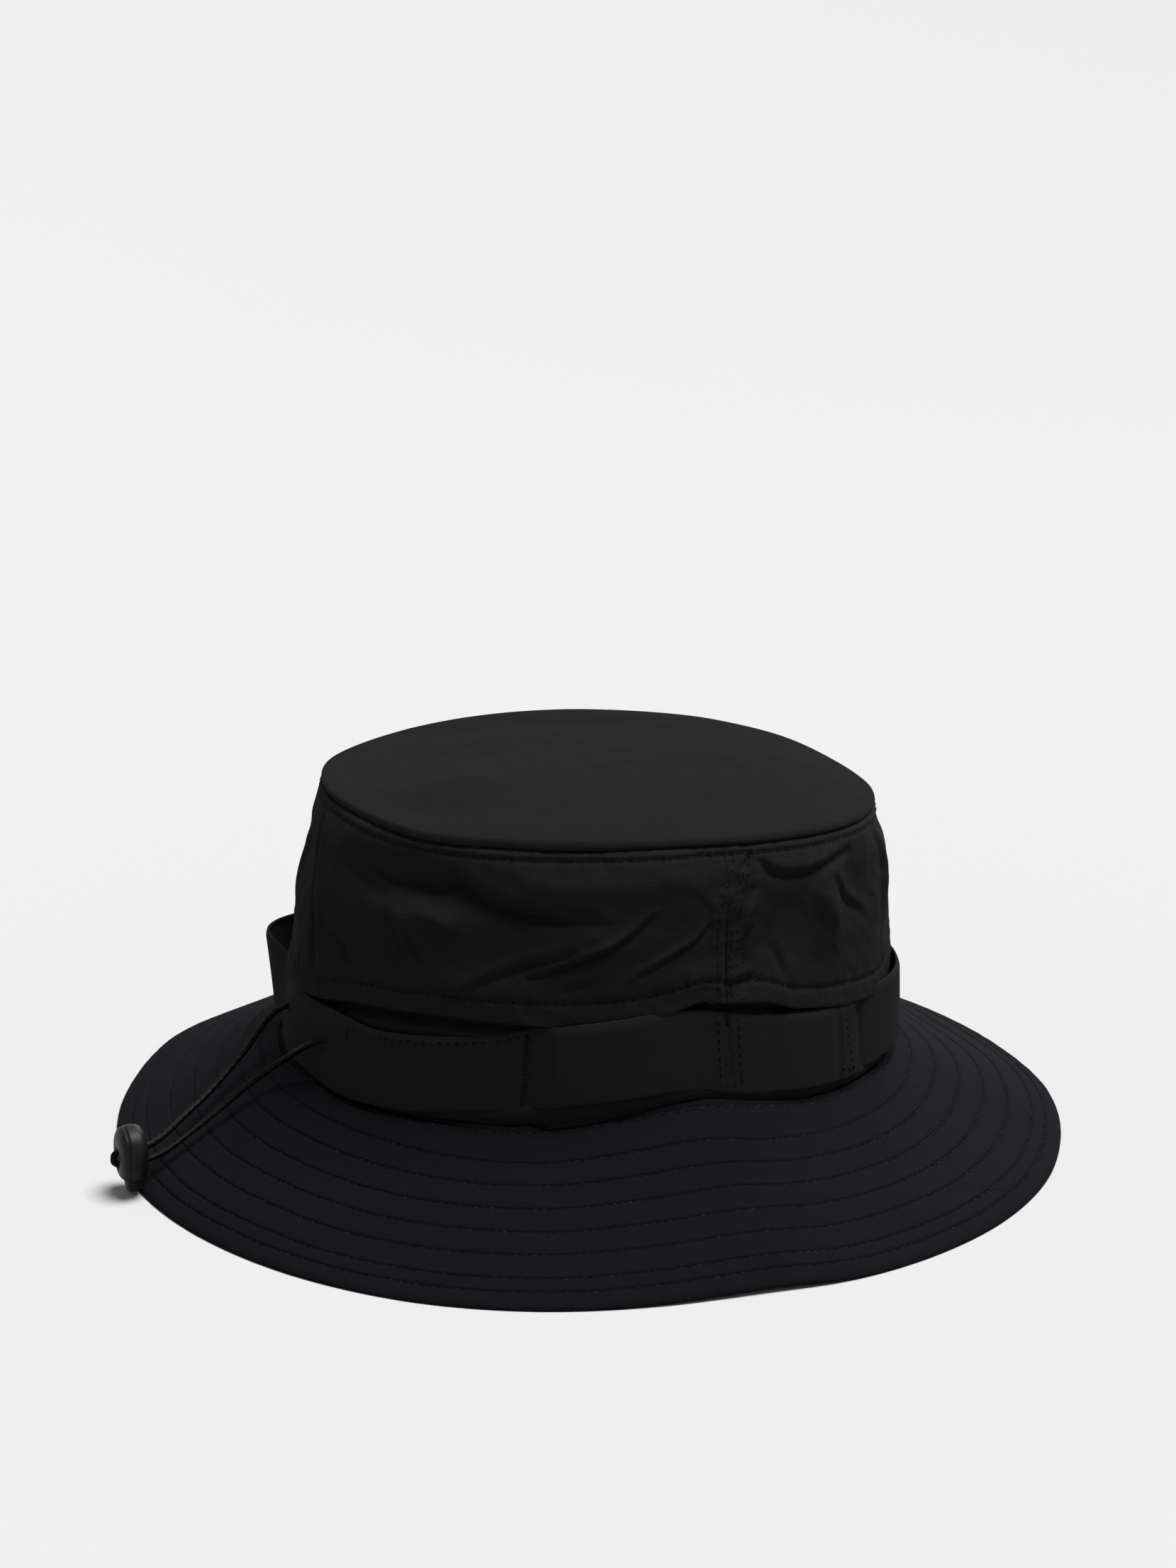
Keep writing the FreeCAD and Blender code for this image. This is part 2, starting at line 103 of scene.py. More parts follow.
def arc(degrees, radius):
    """How far round the hat an angle is, along a circle of a radius."""
    return np.radians(degrees) * radius


def level(value):
    """The same height at every angle."""
    return lambda degrees: np.full(np.shape(degrees), float(value))


def around(knots, blur=2.2):
    """A smooth closed function of angle through (angle, value) pairs."""
    grid = np.arange(0.0, 360.0, 0.5)
    angles, values = np.array(knots, float).T
    rough = np.interp(grid, angles, values, period=360.0)
    reach = int(6 * blur)
    kernel = np.exp(-((np.arange(-reach, reach + 1) * 0.5 / blur) ** 2))
    kernel /= kernel.sum()
    padded = np.concatenate([rough[-reach:], rough, rough[:reach]])
    even = np.convolve(padded, kernel, "valid")
    return lambda degrees: np.interp(degrees, grid, even, period=360.0)


def ripples(seed, count, low, high):
    """Seeded smooth noise over a surface, given two coordinates in millimetres."""
    made = np.random.default_rng(seed)
    heading = made.uniform(0, 2 * math.pi, count)
    length = np.exp(made.uniform(math.log(low), math.log(high), count))
    phase = made.uniform(0, 2 * math.pi, count)
    share = (length / high) ** 0.5

    def value(u, v):
        total = 0.0
        for h, l, p, s in zip(heading, length, phase, share):
            total = total + s * np.sin((u * math.cos(h) + v * math.sin(h)) * 2 * math.pi / l + p)
        return total / math.sqrt(count)

    return value


def inside(surface, depth):
    """The surface a distance behind another."""
    return lambda degrees, height, offset: surface(degrees, height, offset - depth)


def unit(vectors):
    return vectors / np.maximum(np.linalg.norm(vectors, axis=-1, keepdims=True), 1e-9)


def travelled(line):
    """The distance along a line at each of its points."""
    return np.concatenate([[0], np.cumsum(np.linalg.norm(np.diff(line, axis=0), axis=1))])


def sampled(line, run, spots):
    """A line's values at some distances along it."""
    return np.stack([np.interp(spots, run, line[:, k]) for k in range(3)], -1)


def solid(name, points, faces):
    """A mesh object from points in millimetres."""
    mesh = bpy.data.meshes.new(name)
    mesh.from_pydata((np.asarray(points, float) * MM).tolist(), [], faces)
    return added(name, mesh)


def tube_faces(rings, sides, base=0):
    """The faces of a closed tube whose points come ring by ring."""
    faces = []
    for start in range(base, base + (rings - 1) * sides, sides):
        for k in range(sides):
            n = (k + 1) % sides
            faces.append((start + k, start + n, start + sides + n, start + sides + k))
    last = base + (rings - 1) * sides
    return faces + [tuple(range(base, base + sides))[::-1], tuple(range(last, last + sides))]


def make(name, points, faces, material, uv=None, body="hat", node=None):
    """A smooth-shaded mesh object, riding on a body.

    It stands for a CAD node if one is named."""
    obj = solid(name, points, faces)
    mesh = obj.data
    mesh.polygons.foreach_set("use_smooth", [True] * len(mesh.polygons))
    if uv is not None:
        layer = mesh.uv_layers.new(name="weave")
        layer.data.foreach_set("uv", np.asarray(uv, np.float32).ravel())
    mesh.materials.append(material)
    if body:
        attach(obj, body)
    if node:
        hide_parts(node)
    return obj


def weave(points, wrap, uv=None, **how):
    """A closed skin from rings of points: points[i, j], closed in j, and in i if it wraps.

    uv gives each ring's and each point's own lengths in millimetres, one entry more than points
    in each direction that closes."""
    rings, sides, _ = points.shape
    if uv is None:
        uv = np.zeros((rings + 1, sides + 1, 2))
    first = np.arange(rings if wrap else rings - 1)
    second = np.arange(sides)
    i, j = np.meshgrid(first, second, indexing="ij")
    corners = [(i, j), (i + 1, j), (i + 1, j + 1), (i, j + 1)]
    index = np.stack([(a % rings) * sides + b % sides for a, b in corners], -1).reshape(-1, 4)
    quad = points.reshape(-1, 3)[index]
    volume = np.einsum("ij,ij->i", quad[:, 0], np.cross(quad[:, 1], quad[:, 2])).sum()
    volume += np.einsum("ij,ij->i", quad[:, 0], np.cross(quad[:, 2], quad[:, 3])).sum()
    lengths = np.stack([uv[a, b] for a, b in corners], -2).reshape(-1, 4, 2)
    flip = volume < 0
    if flip:
        index = index[:, ::-1]
        lengths = lengths[:, ::-1]
    faces = index.tolist()
    loops = lengths.reshape(-1, 2)
    if not wrap:
        for ring, turned in ((0, flip), (rings - 1, not flip)):
            cap = [ring * sides + side for side in range(sides)]
            faces.append(cap[::-1] if turned else cap)
            edge = uv[ring, :sides]
            loops = np.concatenate([loops, edge[::-1] if turned else edge])
    return make(points=points.reshape(-1, 3), faces=faces, uv=loops, **how)


def profile(steps, thick):
    """A thin closed section: (share along, offset) up the outside, round the top and back."""
    share = np.linspace(0, 1, steps)
    turn = np.radians([60.0, 20.0, -20.0, -60.0])
    along = np.concatenate([share, np.ones(4), share[::-1], np.zeros(4)])
    over = np.concatenate([np.zeros(steps), np.cos(turn), np.zeros(steps), -np.cos(turn)])
    offset = [np.zeros(steps), np.sin(turn) - 1, -2 * np.ones(steps), -np.sin(turn) - 1]
    return along, over * thick / 2, np.concatenate(offset) * thick / 2


BAND_RADIUS = 98.0
SIDE_RADIUS = 95.0
SWEAT_RADIUS = 93.0
BRIM_RADIUS = 130.0
BEHIND_SHIFT = 60.0  # sets a strip's back apart from its front in the weave's own lengths


def cloth(name, surface, low, high, thick, steps, material, start=0.0, end=360.0, pitch=0.5, **how):
    """A cloth strip round the hat between two edges, each a function of angle.

    steps is how many points its outside has from edge to edge, and pitch the angle between rings."""
    wrap = end - start > 359.9
    count = int(round((end - start) / pitch))
    degrees = np.linspace(start, end, count + 1)
    along, over, offset = profile(steps, thick)
    bottom = np.asarray(low(degrees))[:, None]
    top = np.asarray(high(degrees))[:, None]
    height = bottom + along[None, :] * (top - bottom) + over[None, :]
    turn = np.broadcast_to(degrees[:, None], height.shape)
    points = surface(turn, height, np.broadcast_to(offset[None, :], height.shape))
    behind = offset[None, :] < -thick * 0.6
    lengths = np.stack([arc(turn, BAND_RADIUS), height + BEHIND_SHIFT * behind], -1)
    lengths = np.concatenate([lengths, lengths[:, :1]], 1)
    if wrap:
        points = points[:-1]
    return weave(points, wrap, lengths, name=name, material=material, **how)


# ---- materials


def shader(name, color, roughness, specular=0.3, metallic=0.0):
    """A plain material, to which Nodes adds detail."""
    material = bpy.data.materials.new(name)
    material.use_nodes = True
    inputs = material.node_tree.nodes["Principled BSDF"].inputs
    inputs["Base Color"].default_value = (*color, 1)
    inputs["Roughness"].default_value = roughness
    inputs["Specular IOR Level"].default_value = specular
    inputs["Metallic"].default_value = metallic
    return material


class Nodes:
    """Short calls for making a material's nodes."""

    def __init__(self, material):
        self.tree = material.node_tree
        self.bsdf = self.tree.nodes["Principled BSDF"]

    def add(self, kind, inputs=None, **values):
        node = self.tree.nodes.new(kind)
        for key, value in values.items():
            setattr(node, key, value)
        for key, value in (inputs or {}).items():
            if isinstance(value, bpy.types.NodeSocket):
                self.tree.links.new(value, node.inputs[key])
            else:
                node.inputs[key].default_value = value
        return node

    def math(self, operation, *inputs):
        return self.add("ShaderNodeMath", dict(enumerate(inputs)), operation=operation).outputs[0]

    def place(self):
        return self.add("ShaderNodeTexCoord").outputs["Object"]

    def noise(self, vector, scale, detail=3.0, roughness=0.55):
        inputs = {"Vector": vector, "Scale": scale, "Detail": detail, "Roughness": roughness}
        return self.add("ShaderNodeTexNoise", inputs).outputs["Fac"]

    def scaled(self, vector, x, y, z=1.0):
        return self.add("ShaderNodeMapping", {"Vector": vector, "Scale": (x, y, z)}).outputs[0]

    def ramp(self, value, dark, light, low=0.3, high=0.7):
        share = self.add("ShaderNodeMapRange", {0: value, 1: low, 2: high}).outputs[0]
        ends = {"Factor": share, 6: (*dark, 1), 7: (*light, 1)}
        return self.add("ShaderNodeMix", ends, data_type="RGBA").outputs[2]

    def color(self, socket):
        self.tree.links.new(socket, self.bsdf.inputs["Base Color"])

    def rough(self, socket, low, high):
        out = self.add("ShaderNodeMapRange", {0: socket, 3: low, 4: high}).outputs[0]
        self.tree.links.new(out, self.bsdf.inputs["Roughness"])

    def bump(self, height, distance, strength=1.0, under=None):
        inputs = {"Height": height, "Distance": distance, "Strength": strength}
        if under is not None:
            inputs["Normal"] = under
        out = self.add("ShaderNodeBump", inputs).outputs["Normal"]
        self.tree.links.new(out, self.bsdf.inputs["Normal"])
        return out


CLOTH_ROUGH = 0.85
COLOR_LIFT = 0.5  # at 0 a cloth's colour varies from dark to light, and here it stays light


def fabric(name, dark, light, pitch=0.42, slub=0.5, crinkle=0.3, twill=0.0, grain=(0.09, 1.7),
           streak=1.0):
    """Woven cloth: threads both ways, thick-and-thin yarns and a fine crinkle, all as bumps.

    The colour stays at its light end, or within 1 % of it where streak is high."""
    material = shader(name, light, CLOTH_ROUGH, 0.02)
    n = Nodes(material)
    uv = n.add("ShaderNodeUVMap", uv_map="weave").outputs["UV"]
    parts = n.add("ShaderNodeSeparateXYZ", {0: uv}).outputs
    turn = 2 * math.pi / pitch
    across = n.math("MULTIPLY", n.math("ADD", parts[0], n.math("MULTIPLY", parts[1], twill)), turn)
    up = n.math("MULTIPLY", parts[1], turn)
    crossing = n.math("MULTIPLY", n.math("SINE", across), n.math("SINE", up))
    threads = n.math("MULTIPLY_ADD", crossing, 0.5, 0.5)
    slubs = n.noise(n.scaled(uv, *grain), 1.0, 4.0, 0.6)
    slubs_up = n.noise(n.scaled(uv, 1.9, 0.12), 1.0, 3.0, 0.6)
    creased = n.noise(n.scaled(uv, 0.10, 0.16), 1.0, 6.0, 0.62)
    patch = n.noise(n.scaled(uv, 0.02, 0.03), 1.0, 3.0, 0.5)
    patchy = n.math("MULTIPLY_ADD", patch, 0.3, COLOR_LIFT)
    mixed = n.math("MULTIPLY_ADD", slubs, 0.55 * streak, patchy)
    total = n.math("ADD", mixed, n.math("MULTIPLY", threads, 0.16))
    middle = 0.235 + 0.275 * streak
    n.color(n.ramp(total, dark, light, middle - 0.2, middle + 0.18))
    n.rough(slubs, CLOTH_ROUGH - 0.08, CLOTH_ROUGH + 0.08)
    under = n.bump(creased, 1.6 * MM, crinkle)
    lines = n.math("ADD", slubs, n.math("MULTIPLY", slubs_up, 0.35))
    under = n.bump(lines, 0.5 * MM, slub, under)
    n.bump(threads, 0.10 * MM, 0.6, under)
    return material


crown_cloth = fabric("crown_cloth", (0.0044, 0.0043, 0.0048), (0.0084, 0.0083, 0.0091), slub=0.45,
                     crinkle=0.35)
top_cloth = fabric("top_cloth", (0.0016, 0.0016, 0.0018), (0.0087, 0.0086, 0.0092), slub=1.0,
                   crinkle=0.45, grain=(0.035, 0.42), streak=2.3)
# Painted shade: the brim is given a cloth about half as light as the crown's, standing in for the shade
# and lack of sheen that make the brim look darker than the top.
brim_cloth = fabric("brim_cloth", (0.0022, 0.0021, 0.0024), (0.0044, 0.0041, 0.0058), slub=0.25)
webbing_cloth = fabric("webbing", (0.0056, 0.0056, 0.0062), (0.0094, 0.0093, 0.0103), 0.8, 0.2, 0.1, 0.5)
inner_cloth = fabric("inner_tape", (0.012, 0.012, 0.013), (0.020, 0.020, 0.021), 0.5, 0.3, 0.3)
sweat_cloth = fabric("sweatband_cloth", (0.011, 0.011, 0.012), (0.019, 0.019, 0.020), 0.6, 0.2, 0.25)
felt_cloth = fabric("interlining", (0.03, 0.03, 0.03), (0.05, 0.05, 0.05), 0.9, 0.1, 0.6)
label_cloth = fabric("label", (0.50, 0.50, 0.48), (0.66, 0.66, 0.64), 0.35, 0.1, 0.1)


def thread_with_painted_highlights(name, color, light, shine, rough):
    """Thread or cord: dark, with lighter flecks painted into its colour as highlights where the twist
    would catch the light.
    """
    material = shader(name, color, rough, shine)
    n = Nodes(material)
    grain = n.noise(n.place(), 2600.0, 2.0)
    # Painted highlights: the colour turns lighter in flecks.
    n.color(n.ramp(n.noise(n.place(), 700.0, 2.0), color, light, 0.46, 0.66))
    n.rough(grain, rough - 0.08, rough + 0.1)
    n.bump(grain, 0.08 * MM, 0.5)
    return material


def plastic(name, color, light, rough):
    """Moulded plastic: slow changes of colour and gloss over a fine grain."""
    material = shader(name, color, rough, 0.17)
    n = Nodes(material)
    wide = n.noise(n.place(), 160.0, 3.0)
    n.color(n.ramp(wide, color, light))
    n.rough(wide, rough - 0.06, rough + 0.08)
    n.bump(n.noise(n.place(), 1500.0, 2.0), 0.05 * MM, 0.35)
    return material


# Thread and cord both have painted highlights, as lighter flecks in their colour.
thread = thread_with_painted_highlights("thread", (0.0008, 0.0008, 0.0009), (0.0110, 0.0110, 0.0116), 0.05, 0.6)
cord_cloth = thread_with_painted_highlights("cord_braid", (0.0006, 0.0006, 0.0006), (0.0022, 0.0022, 0.0021), 0.07, 0.5)
lock_plastic = plastic("lock_plastic", (0.0030, 0.0030, 0.0030), (0.0050, 0.0050, 0.0049), 0.48)
# Painted light: the foot's plastic is made several times lighter than the shell's, to make up for the
# shade it sits in low beside the brim.
plunger_plastic = plastic("plunger_plastic", (0.0110, 0.0110, 0.0110), (0.0160, 0.0160, 0.0158), 0.50)
spring_steel = shader("spring_steel", (0.55, 0.55, 0.56), 0.3, 0.5, 1.0)
steel = Nodes(spring_steel)
wire_marks = steel.noise(steel.place(), 900.0, 3.0)
steel.color(steel.ramp(wire_marks, (0.45, 0.45, 0.46), (0.62, 0.62, 0.63)))
steel.rough(wire_marks, 0.22, 0.42)

# ---- the hat's surfaces

# The crown's half width and half length at four heights, and how far its top leans over.
LEVELS = np.array([0.0, 33.0, 62.0, 116.5])
WIDTHS = np.array([101.6, 98.0, 94.84, 88.9])
LENGTHS = np.array([105.8, 102.5, 99.6, 92.7])
LEAN = np.array([-1.4, -3.1])
LEAN_FROM, LEAN_OVER = 32.3, 84.9
JOIN_WIDTH, JOIN_LENGTH = 98.6, 103.1  # the brim's inner edge
HEM_ROW = 7.0  # stitches above the hem
TOP_ROW = 3.1  # stitches below the top seam
SEAM_ROWS = (-1.9, 1.0, 2.3)  # stitches beside each side seam
JOIN_ROWS = (1.8, 3.1)  # stitches out from the brim's inner edge

# Edges all round the hat, as (angle, height or distance) pairs.
join_height = around([
    (-20, 30), (50, 30), (55, 30.8), (61, 31.8), (68, 33.9), (74, 35.0), (80, 36.3), (87, 36.8),
    (94, 34.2), (102, 31.2), (108, 29.2), (117, 27.6), (133, 26.4), (150, 25), (180, 25), (205, 29),
    (240, 31), (270, 34), (300, 31)])
hem_height = around([
    (-25, 55), (-3, 53.7), (7, 55.1), (18, 59.3), (27, 60.9), (34, 61.7), (48, 61.9), (61, 61.8),
    (73, 63.0), (80, 65.1), (85, 67.2), (90, 65.4), (99, 63.6), (105, 59.1), (113, 56.4),
    (119, 54.8), (135, 51.5), (152, 55), (180, 59), (210, 61), (240, 58), (270, 62), (300, 60)], 1.6)
ribbon_low = around([
    (-12, 31.0), (20, 30.5), (30, 31.5), (36, 32.4), (49, 35.1), (54, 36.2), (61, 38.4), (67, 39.8),
    (80, 41.2), (87, 39.9), (93, 36.7), (102, 34.6), (110, 32.7), (118, 31.1), (128, 30.6),
    (150, 31.5), (180, 33), (210, 34.5), (240, 33), (270, 36), (300, 34), (330, 32)])
ribbon_top = around([
    (-12, 53.0), (0, 53.2), (7, 54.0), (14, 54.4), (19, 54.2), (24, 53.4), (35, 55.1), (48, 57.4),
    (53, 59.8), (61, 62.4), (73, 64.5), (80, 65.3), (87, 63.7), (96, 60), (102, 58.6), (110, 56.7),
    (119, 54.8), (128, 54.4), (150, 55.5), (180, 57), (210, 58.5), (240, 57), (270, 60), (300, 58),
    (330, 56)])
rim_height = around([
    (-60, 2.0), (-46, 3.0), (-30, 1.6), (0, 1.1), (66, 1.1), (78, 2.0), (86, 2.6), (95, 1.1),
    (105, 1.0), (170, 1.1), (200, 1.5), (230, 1.1), (270, 2.0)], 4.0)
rim_radius = around([
    (-60, 159.2), (-50, 161.4), (-46, 162.5), (-30, 160.5), (-15, 160), (0, 161.5), (20, 162.3),
    (35, 163.3), (48, 163.8), (60, 162.5), (70, 160.4), (80, 158.4), (86, 158.6), (92, 161.2),
    (100, 162), (115, 162.6), (130, 162), (140, 160.8), (160, 160.4), (172, 158.4), (192, 157.6),
    (205, 159), (250, 161.2), (290, 160)], 4.0)
top_height = around([
    (-60, 117.6), (-30, 118.6), (-13, 119.2), (2, 118.6), (15, 117.4), (30, 116.6), (60, 117.7),
    (87, 117.0), (104, 114.9), (122, 112.8), (140, 110.4), (155, 109), (170, 109), (185, 111),
    (200, 113.8), (220, 116.6), (250, 118.2), (280, 118.3)], 4.0)
seam_drop = around([
    (-60, 1.4), (-30, 1.0), (-15, 1.1), (0, 1.8), (20, 2.5), (60, 2.8), (87, 2.2), (110, 2.3),
    (140, 1.7), (160, 1.2), (200, 1.6), (270, 1.8)], 4.0)
shoulder = around([
    (-60, 1.4), (-35, 2.2), (10, 2.4), (90, 2.0), (150, 2.3), (175, 1.6), (210, 1.0), (270, 1.0)], 6.0)
hem_gap = around([
    (-30, 0.9), (-5, 1.0), (20, 1.4), (45, 1.2), (55, 0.5), (70, 0.3), (78, 0.6), (86, 1.2),
    (93, 0.8), (100, 1.0), (112, 1.2), (120, 0.6), (150, 0.7), (200, 0.8), (250, 0.5), (290, 1.0)], 2.0)


def oval(turn, width, length):
    """How far out an oval's edge is at an angle in radians."""
    return 1 / np.sqrt((np.sin(turn) / width) ** 2 + (np.cos(turn) / length) ** 2)


def seam_lean(height):
    """The angle of the side seams, which lean a little near the top."""
    return 90.0 + 4.5 * smooth(90.0, 118.0, height) + 2.0 * smooth(62.0, 34.0, height)


def seam_height(degrees):
    """The height of the seam between the top and the side panels."""
    return top_height(degrees) - seam_drop(degrees)


def hem_edge(degrees):
    """The side panel's folded lower edge."""
    return hem_height(degrees) + hem_gap(degrees)


def wall(degrees, height, offset):
    """A point off the crown's inner wall line at a height."""
    turn = np.radians(degrees)
    width = np.interp(height, LEVELS, WIDTHS)
    length = np.interp(height, LEVELS, LENGTHS)
    reach = oval(turn, width, length)
    x, y = -reach * np.sin(turn), reach * np.cos(turn)
    out = unit(np.stack([x / width**2, y / length**2], -1))
    rise = np.clip((height - LEAN_FROM) / LEAN_OVER, 0, 1)
    x = x + out[..., 0] * offset + LEAN[0] * rise
    y = y + out[..., 1] * offset + LEAN[1] * rise
    return np.stack([x, y, np.broadcast_to(height, x.shape)], -1)


# Creases in the side panel: (points as (angle, height), depth, width, ridge above the crease).
CREASES = [
    ([(97.5, 108), (100, 104), (104, 101.6), (110, 101), (117, 102.6), (124, 103)], 1.9, 1.5, 1.3),
    ([(94.5, 107), (96, 111)], 1.6, 1.2, 0.8),
    ([(95.5, 100), (93, 93), (91.5, 86)], 1.0, 1.2, 0.8),
    ([(95, 88), (93, 80)], 1.1, 1.1, 0.7),
    ([(90, 71.5), (96, 72.5)], 1.1, 1.2, 0.7),
    ([(101, 80), (103, 72)], 0.9, 1.5, 0.5),
    ([(73, 77), (79, 82.0), (84, 86), (87, 91.5)], 1.2, 0.8, 0.9),
    ([(53, 76.0), (60, 80), (68, 85.5), (73, 91), (75.5, 95)], 1.8, 0.9, 1.2),
    ([(40, 69), (46, 75), (52, 79.5), (61, 84)], 1.2, 1.3, 0.9),
    ([(28, 87), (33, 77)], 1.1, 1.6, 0.7),
    ([(36, 104), (42, 99.5), (49, 96), (58, 94.2), (65, 94)], 2.2, 1.9, 1.2),
    ([(18, 101), (26, 98.5), (33, 99), (38, 102.5)], 1.6, 1.8, 1.4),
    ([(12, 100), (17, 97), (23, 95)], 1.0, 1.6, 0.8),
    ([(24, 91), (27, 84), (28, 78)], 0.9, 1.4, 0.8),
    ([(34, 90), (38, 86)], 0.8, 1.4, 0.6),
    ([(60, 73), (66, 76)], 0.8, 1.2, 0.5),
    ([(84, 100), (86.5, 95), (86, 90)], 0.35, 1.1, 0.2),
    ([(112, 101), (110, 94), (112, 86), (115, 79)], 0.3, 2.4, 1.3),
    ([(-3, 112), (-1, 96), (1, 80), (3, 66)], 1.8, 2.2, 1.0),
    ([(-12, 108), (-17, 92), (-15, 78)], 1.5, 2.2, 1.0),
    ([(9, 79), (16, 72)], 1.0, 1.6, 0.7),
    ([(117, 97), (121, 89), (127, 82)], 1.2, 1.4, 0.9),
    ([(138, 104), (141, 90), (139, 74)], 1.4, 2.6, 0.9),
    ([(168, 82), (180, 90), (196, 93)], 1.6, 2.0, 1.0),
    ([(205, 74), (216, 80), (230, 90)], 1.7, 1.9, 1.1),
    ([(248, 100), (258, 96), (268, 98)], 1.8, 1.9, 1.1),
    ([(276, 76), (288, 84), (298, 95)], 1.7, 1.8, 1.1),
    ([(312, 90), (322, 84), (334, 86)], 1.5, 2.1, 0.9),
]
# Broad hollows (negative) and swells: (angle, height, width along, height across, depth).
SWELLS = [
    (18, 101.5, 10, 6.5, -3.0), (33, 101.5, 11, 5.5, -4.3), (31, 92, 11, 5.0, 2.6),
    (51, 95.5, 10, 4.0, -1.8), (60, 104, 15, 5, 1.3), (78, 104, 12, 8, 0.9), (66, 88, 12, 6, 1.0),
    (116, 90, 5, 12, 3.0), (104, 88, 6, 11, -1.8), (123, 90, 7, 11, -1.6), (132, 84, 9, 13, 1.6),
    (6, 96, 7, 16, 1.8), (45, 72, 16, 6, 1.2), (84, 76, 7, 7, 1.1), (100, 88, 6, 12, -1.0),
    (98, 78, 8, 8, -0.9), (95, 93, 8, 8, 0.9), (160, 92, 14, 14, 0.4), (156, 104, 13, 8, -1.6),
    (185, 80, 16, 9, 1.1), (212, 100, 14, 9, -2.0), (240, 86, 14, 11, 1.5), (265, 82, 10, 10, -1.3),
    (290, 100, 14, 8, -1.8), (305, 78, 14, 9, 1.2), (330, 100, 14, 10, -1.8), (345, 84, 12, 12, 1.2),
]
slow = ripples(11, 14, 26.0, 90.0)
quick = ripples(12, 26, 5.0, 16.0)


def crease(x, y, points, depth, width, ridge):
    """A valley along a line of points, deepest at its middle, with a soft ridge on its upper side."""
    best = np.full(x.shape, 1e9)
    side = np.zeros(x.shape)
    place = np.zeros(x.shape)
    spans = [math.dist(a, b) for a, b in zip(points, points[1:])]
    done = 0.0
    for (ax, ay), (bx, by), span in zip(points, points[1:], spans):
        dx, dy = bx - ax, by - ay
        share = np.clip(((x - ax) * dx + (y - ay) * dy) / span**2, 0, 1)
        gx, gy = x - ax - share * dx, y - ay - share * dy
        gap = np.hypot(gx, gy)
        near = gap < best
        best = np.where(near, gap, best)
        side = np.where(near, np.sign(dx * gy - dy * gx), side)
        place = np.where(near, (done + share * span) / sum(spans), place)
        done += span
    fade = 0.35 + 0.65 * np.sin(np.pi * np.clip(place, 0.0, 1.0)) ** 0.7
    signed = best * side
    return fade * (ridge * hump(signed, 2.0 * width, 1.5 * width) - depth * hump(best, 0, width))


def folds(degrees, height):
    """How far the side panel stands out of its smooth shape."""
    turn = wrapped(degrees)
    across = arc(turn, SIDE_RADIUS)
    out = 0.5 * slow(across, height) + 0.2 * quick(across, height)
    for angle, up, wide, tall, depth in SWELLS:
        out = out + depth * hump(wrapped(turn - angle), 0, wide) * hump(height, up, tall)
    for points, depth, width, ridge in CREASES:
        middle = points[len(points) // 2][0]
        here = arc(wrapped(turn - middle), SIDE_RADIUS)
        line = [(arc(angle - middle, SIDE_RADIUS), up) for angle, up in points]
        out = out + crease(here, height, line, depth, width, ridge)
    drop = top_height(degrees) - height
    return out * (0.15 + 0.85 * smooth(1.0, 10.0, drop)) * smooth(0.0, 3.5, drop)


def hem_flare(degrees, height):
    """The turned hem stands off the webbing, and its fold is thicker than the panel."""
    above = np.clip(height - hem_height(degrees), 0, 50)
    return (0.45 + 0.3 * hem_gap(degrees)) * hump(above, 0, 7.5)


def side(turn, height, offset):
    """The side panel's outer surface."""
    base = smooth(57.0, 66.0, height) * 0.2 + 1.75
    stitched = hem_height(turn) + HEM_ROW
    drop = top_height(turn) - height
    below_seam = seam_height(turn) - height
    along = arc(turn, SIDE_RADIUS)
    beads = 0.5 + 0.5 * np.sin(along * 2 * math.pi / 2.6)
    pull = -0.75 * hump(height, stitched, 0.75) * (0.7 + 0.3 * beads)
    pull = pull - 0.7 * hump(below_seam, TOP_ROW, 0.7) * (0.7 + 0.3 * beads)
    pull = pull - 1.7 * smooth(1.5, 0.3, below_seam) + 0.1 * hump(below_seam, 1.9, 0.7)
    rounded = -shoulder(turn) * smooth(14.0, 0.0, drop)
    off_seam = np.abs(wrapped(turn)) - seam_lean(height)
    seam = -0.8 * hump(off_seam, 0, 0.4)
    for step in SEAM_ROWS:
        seam = seam - 0.35 * hump(off_seam, step, 0.35)
    lap = 0.3 * smooth(2.8, 2.4, np.abs(off_seam))
    quilt = 0.22 * quick(along * 3.0, height * 0.6) * hump(height, stitched, 4.5)
    quilt = quilt + 0.2 * quick(along * 2.0, height) * smooth(9.0, 3.0, below_seam)
    quilt = quilt + 0.25 * quick(height * 2.0, along) * hump(off_seam, 0.0, 4.0)
    swell = folds(turn, height) + hem_flare(turn, height)
    return wall(turn, height, offset + base + pull + rounded + seam + lap + quilt + swell)


band_wrinkle = ripples(21, 12, 9.0, 40.0)


def swollen(turn):
    """Where the cloth under the webbing pushes it outwards between two tacks."""
    bulge = 3.0 * smooth(54.3, 59.5, wrapped(turn)) * smooth(90.0, 64.0, wrapped(turn))
    return bulge + 2.6 * smooth(5.0, 21.0, wrapped(turn)) * smooth(53.0, 24.0, wrapped(turn))


def band(turn, height, offset):
    """The lower part of the side, drawn in under the hem and where it meets the brim."""
    across = arc(wrapped(turn), BAND_RADIUS)
    covered = smooth(-0.4, 1.6, height - ribbon_low(turn)) * smooth(-0.4, 1.6, ribbon_top(turn) - height)
    gap = hem_gap(turn)
    under_hem = smooth(3.6 + 1.1 * gap, 2.6 + 0.9 * gap, hem_edge(turn) - height)
    sunk = -4.4 * under_hem * (1 - 0.4 * covered)
    sunk = sunk - 1.6 * smooth(1.9, 0.5, height - join_height(turn))
    full = 1.1 - 0.9 * covered + 0.7 * swollen(turn) * smooth(1.0, -1.0, height - ribbon_low(turn))
    return wall(turn, height, offset + full + 0.15 * band_wrinkle(across, height) + sunk)


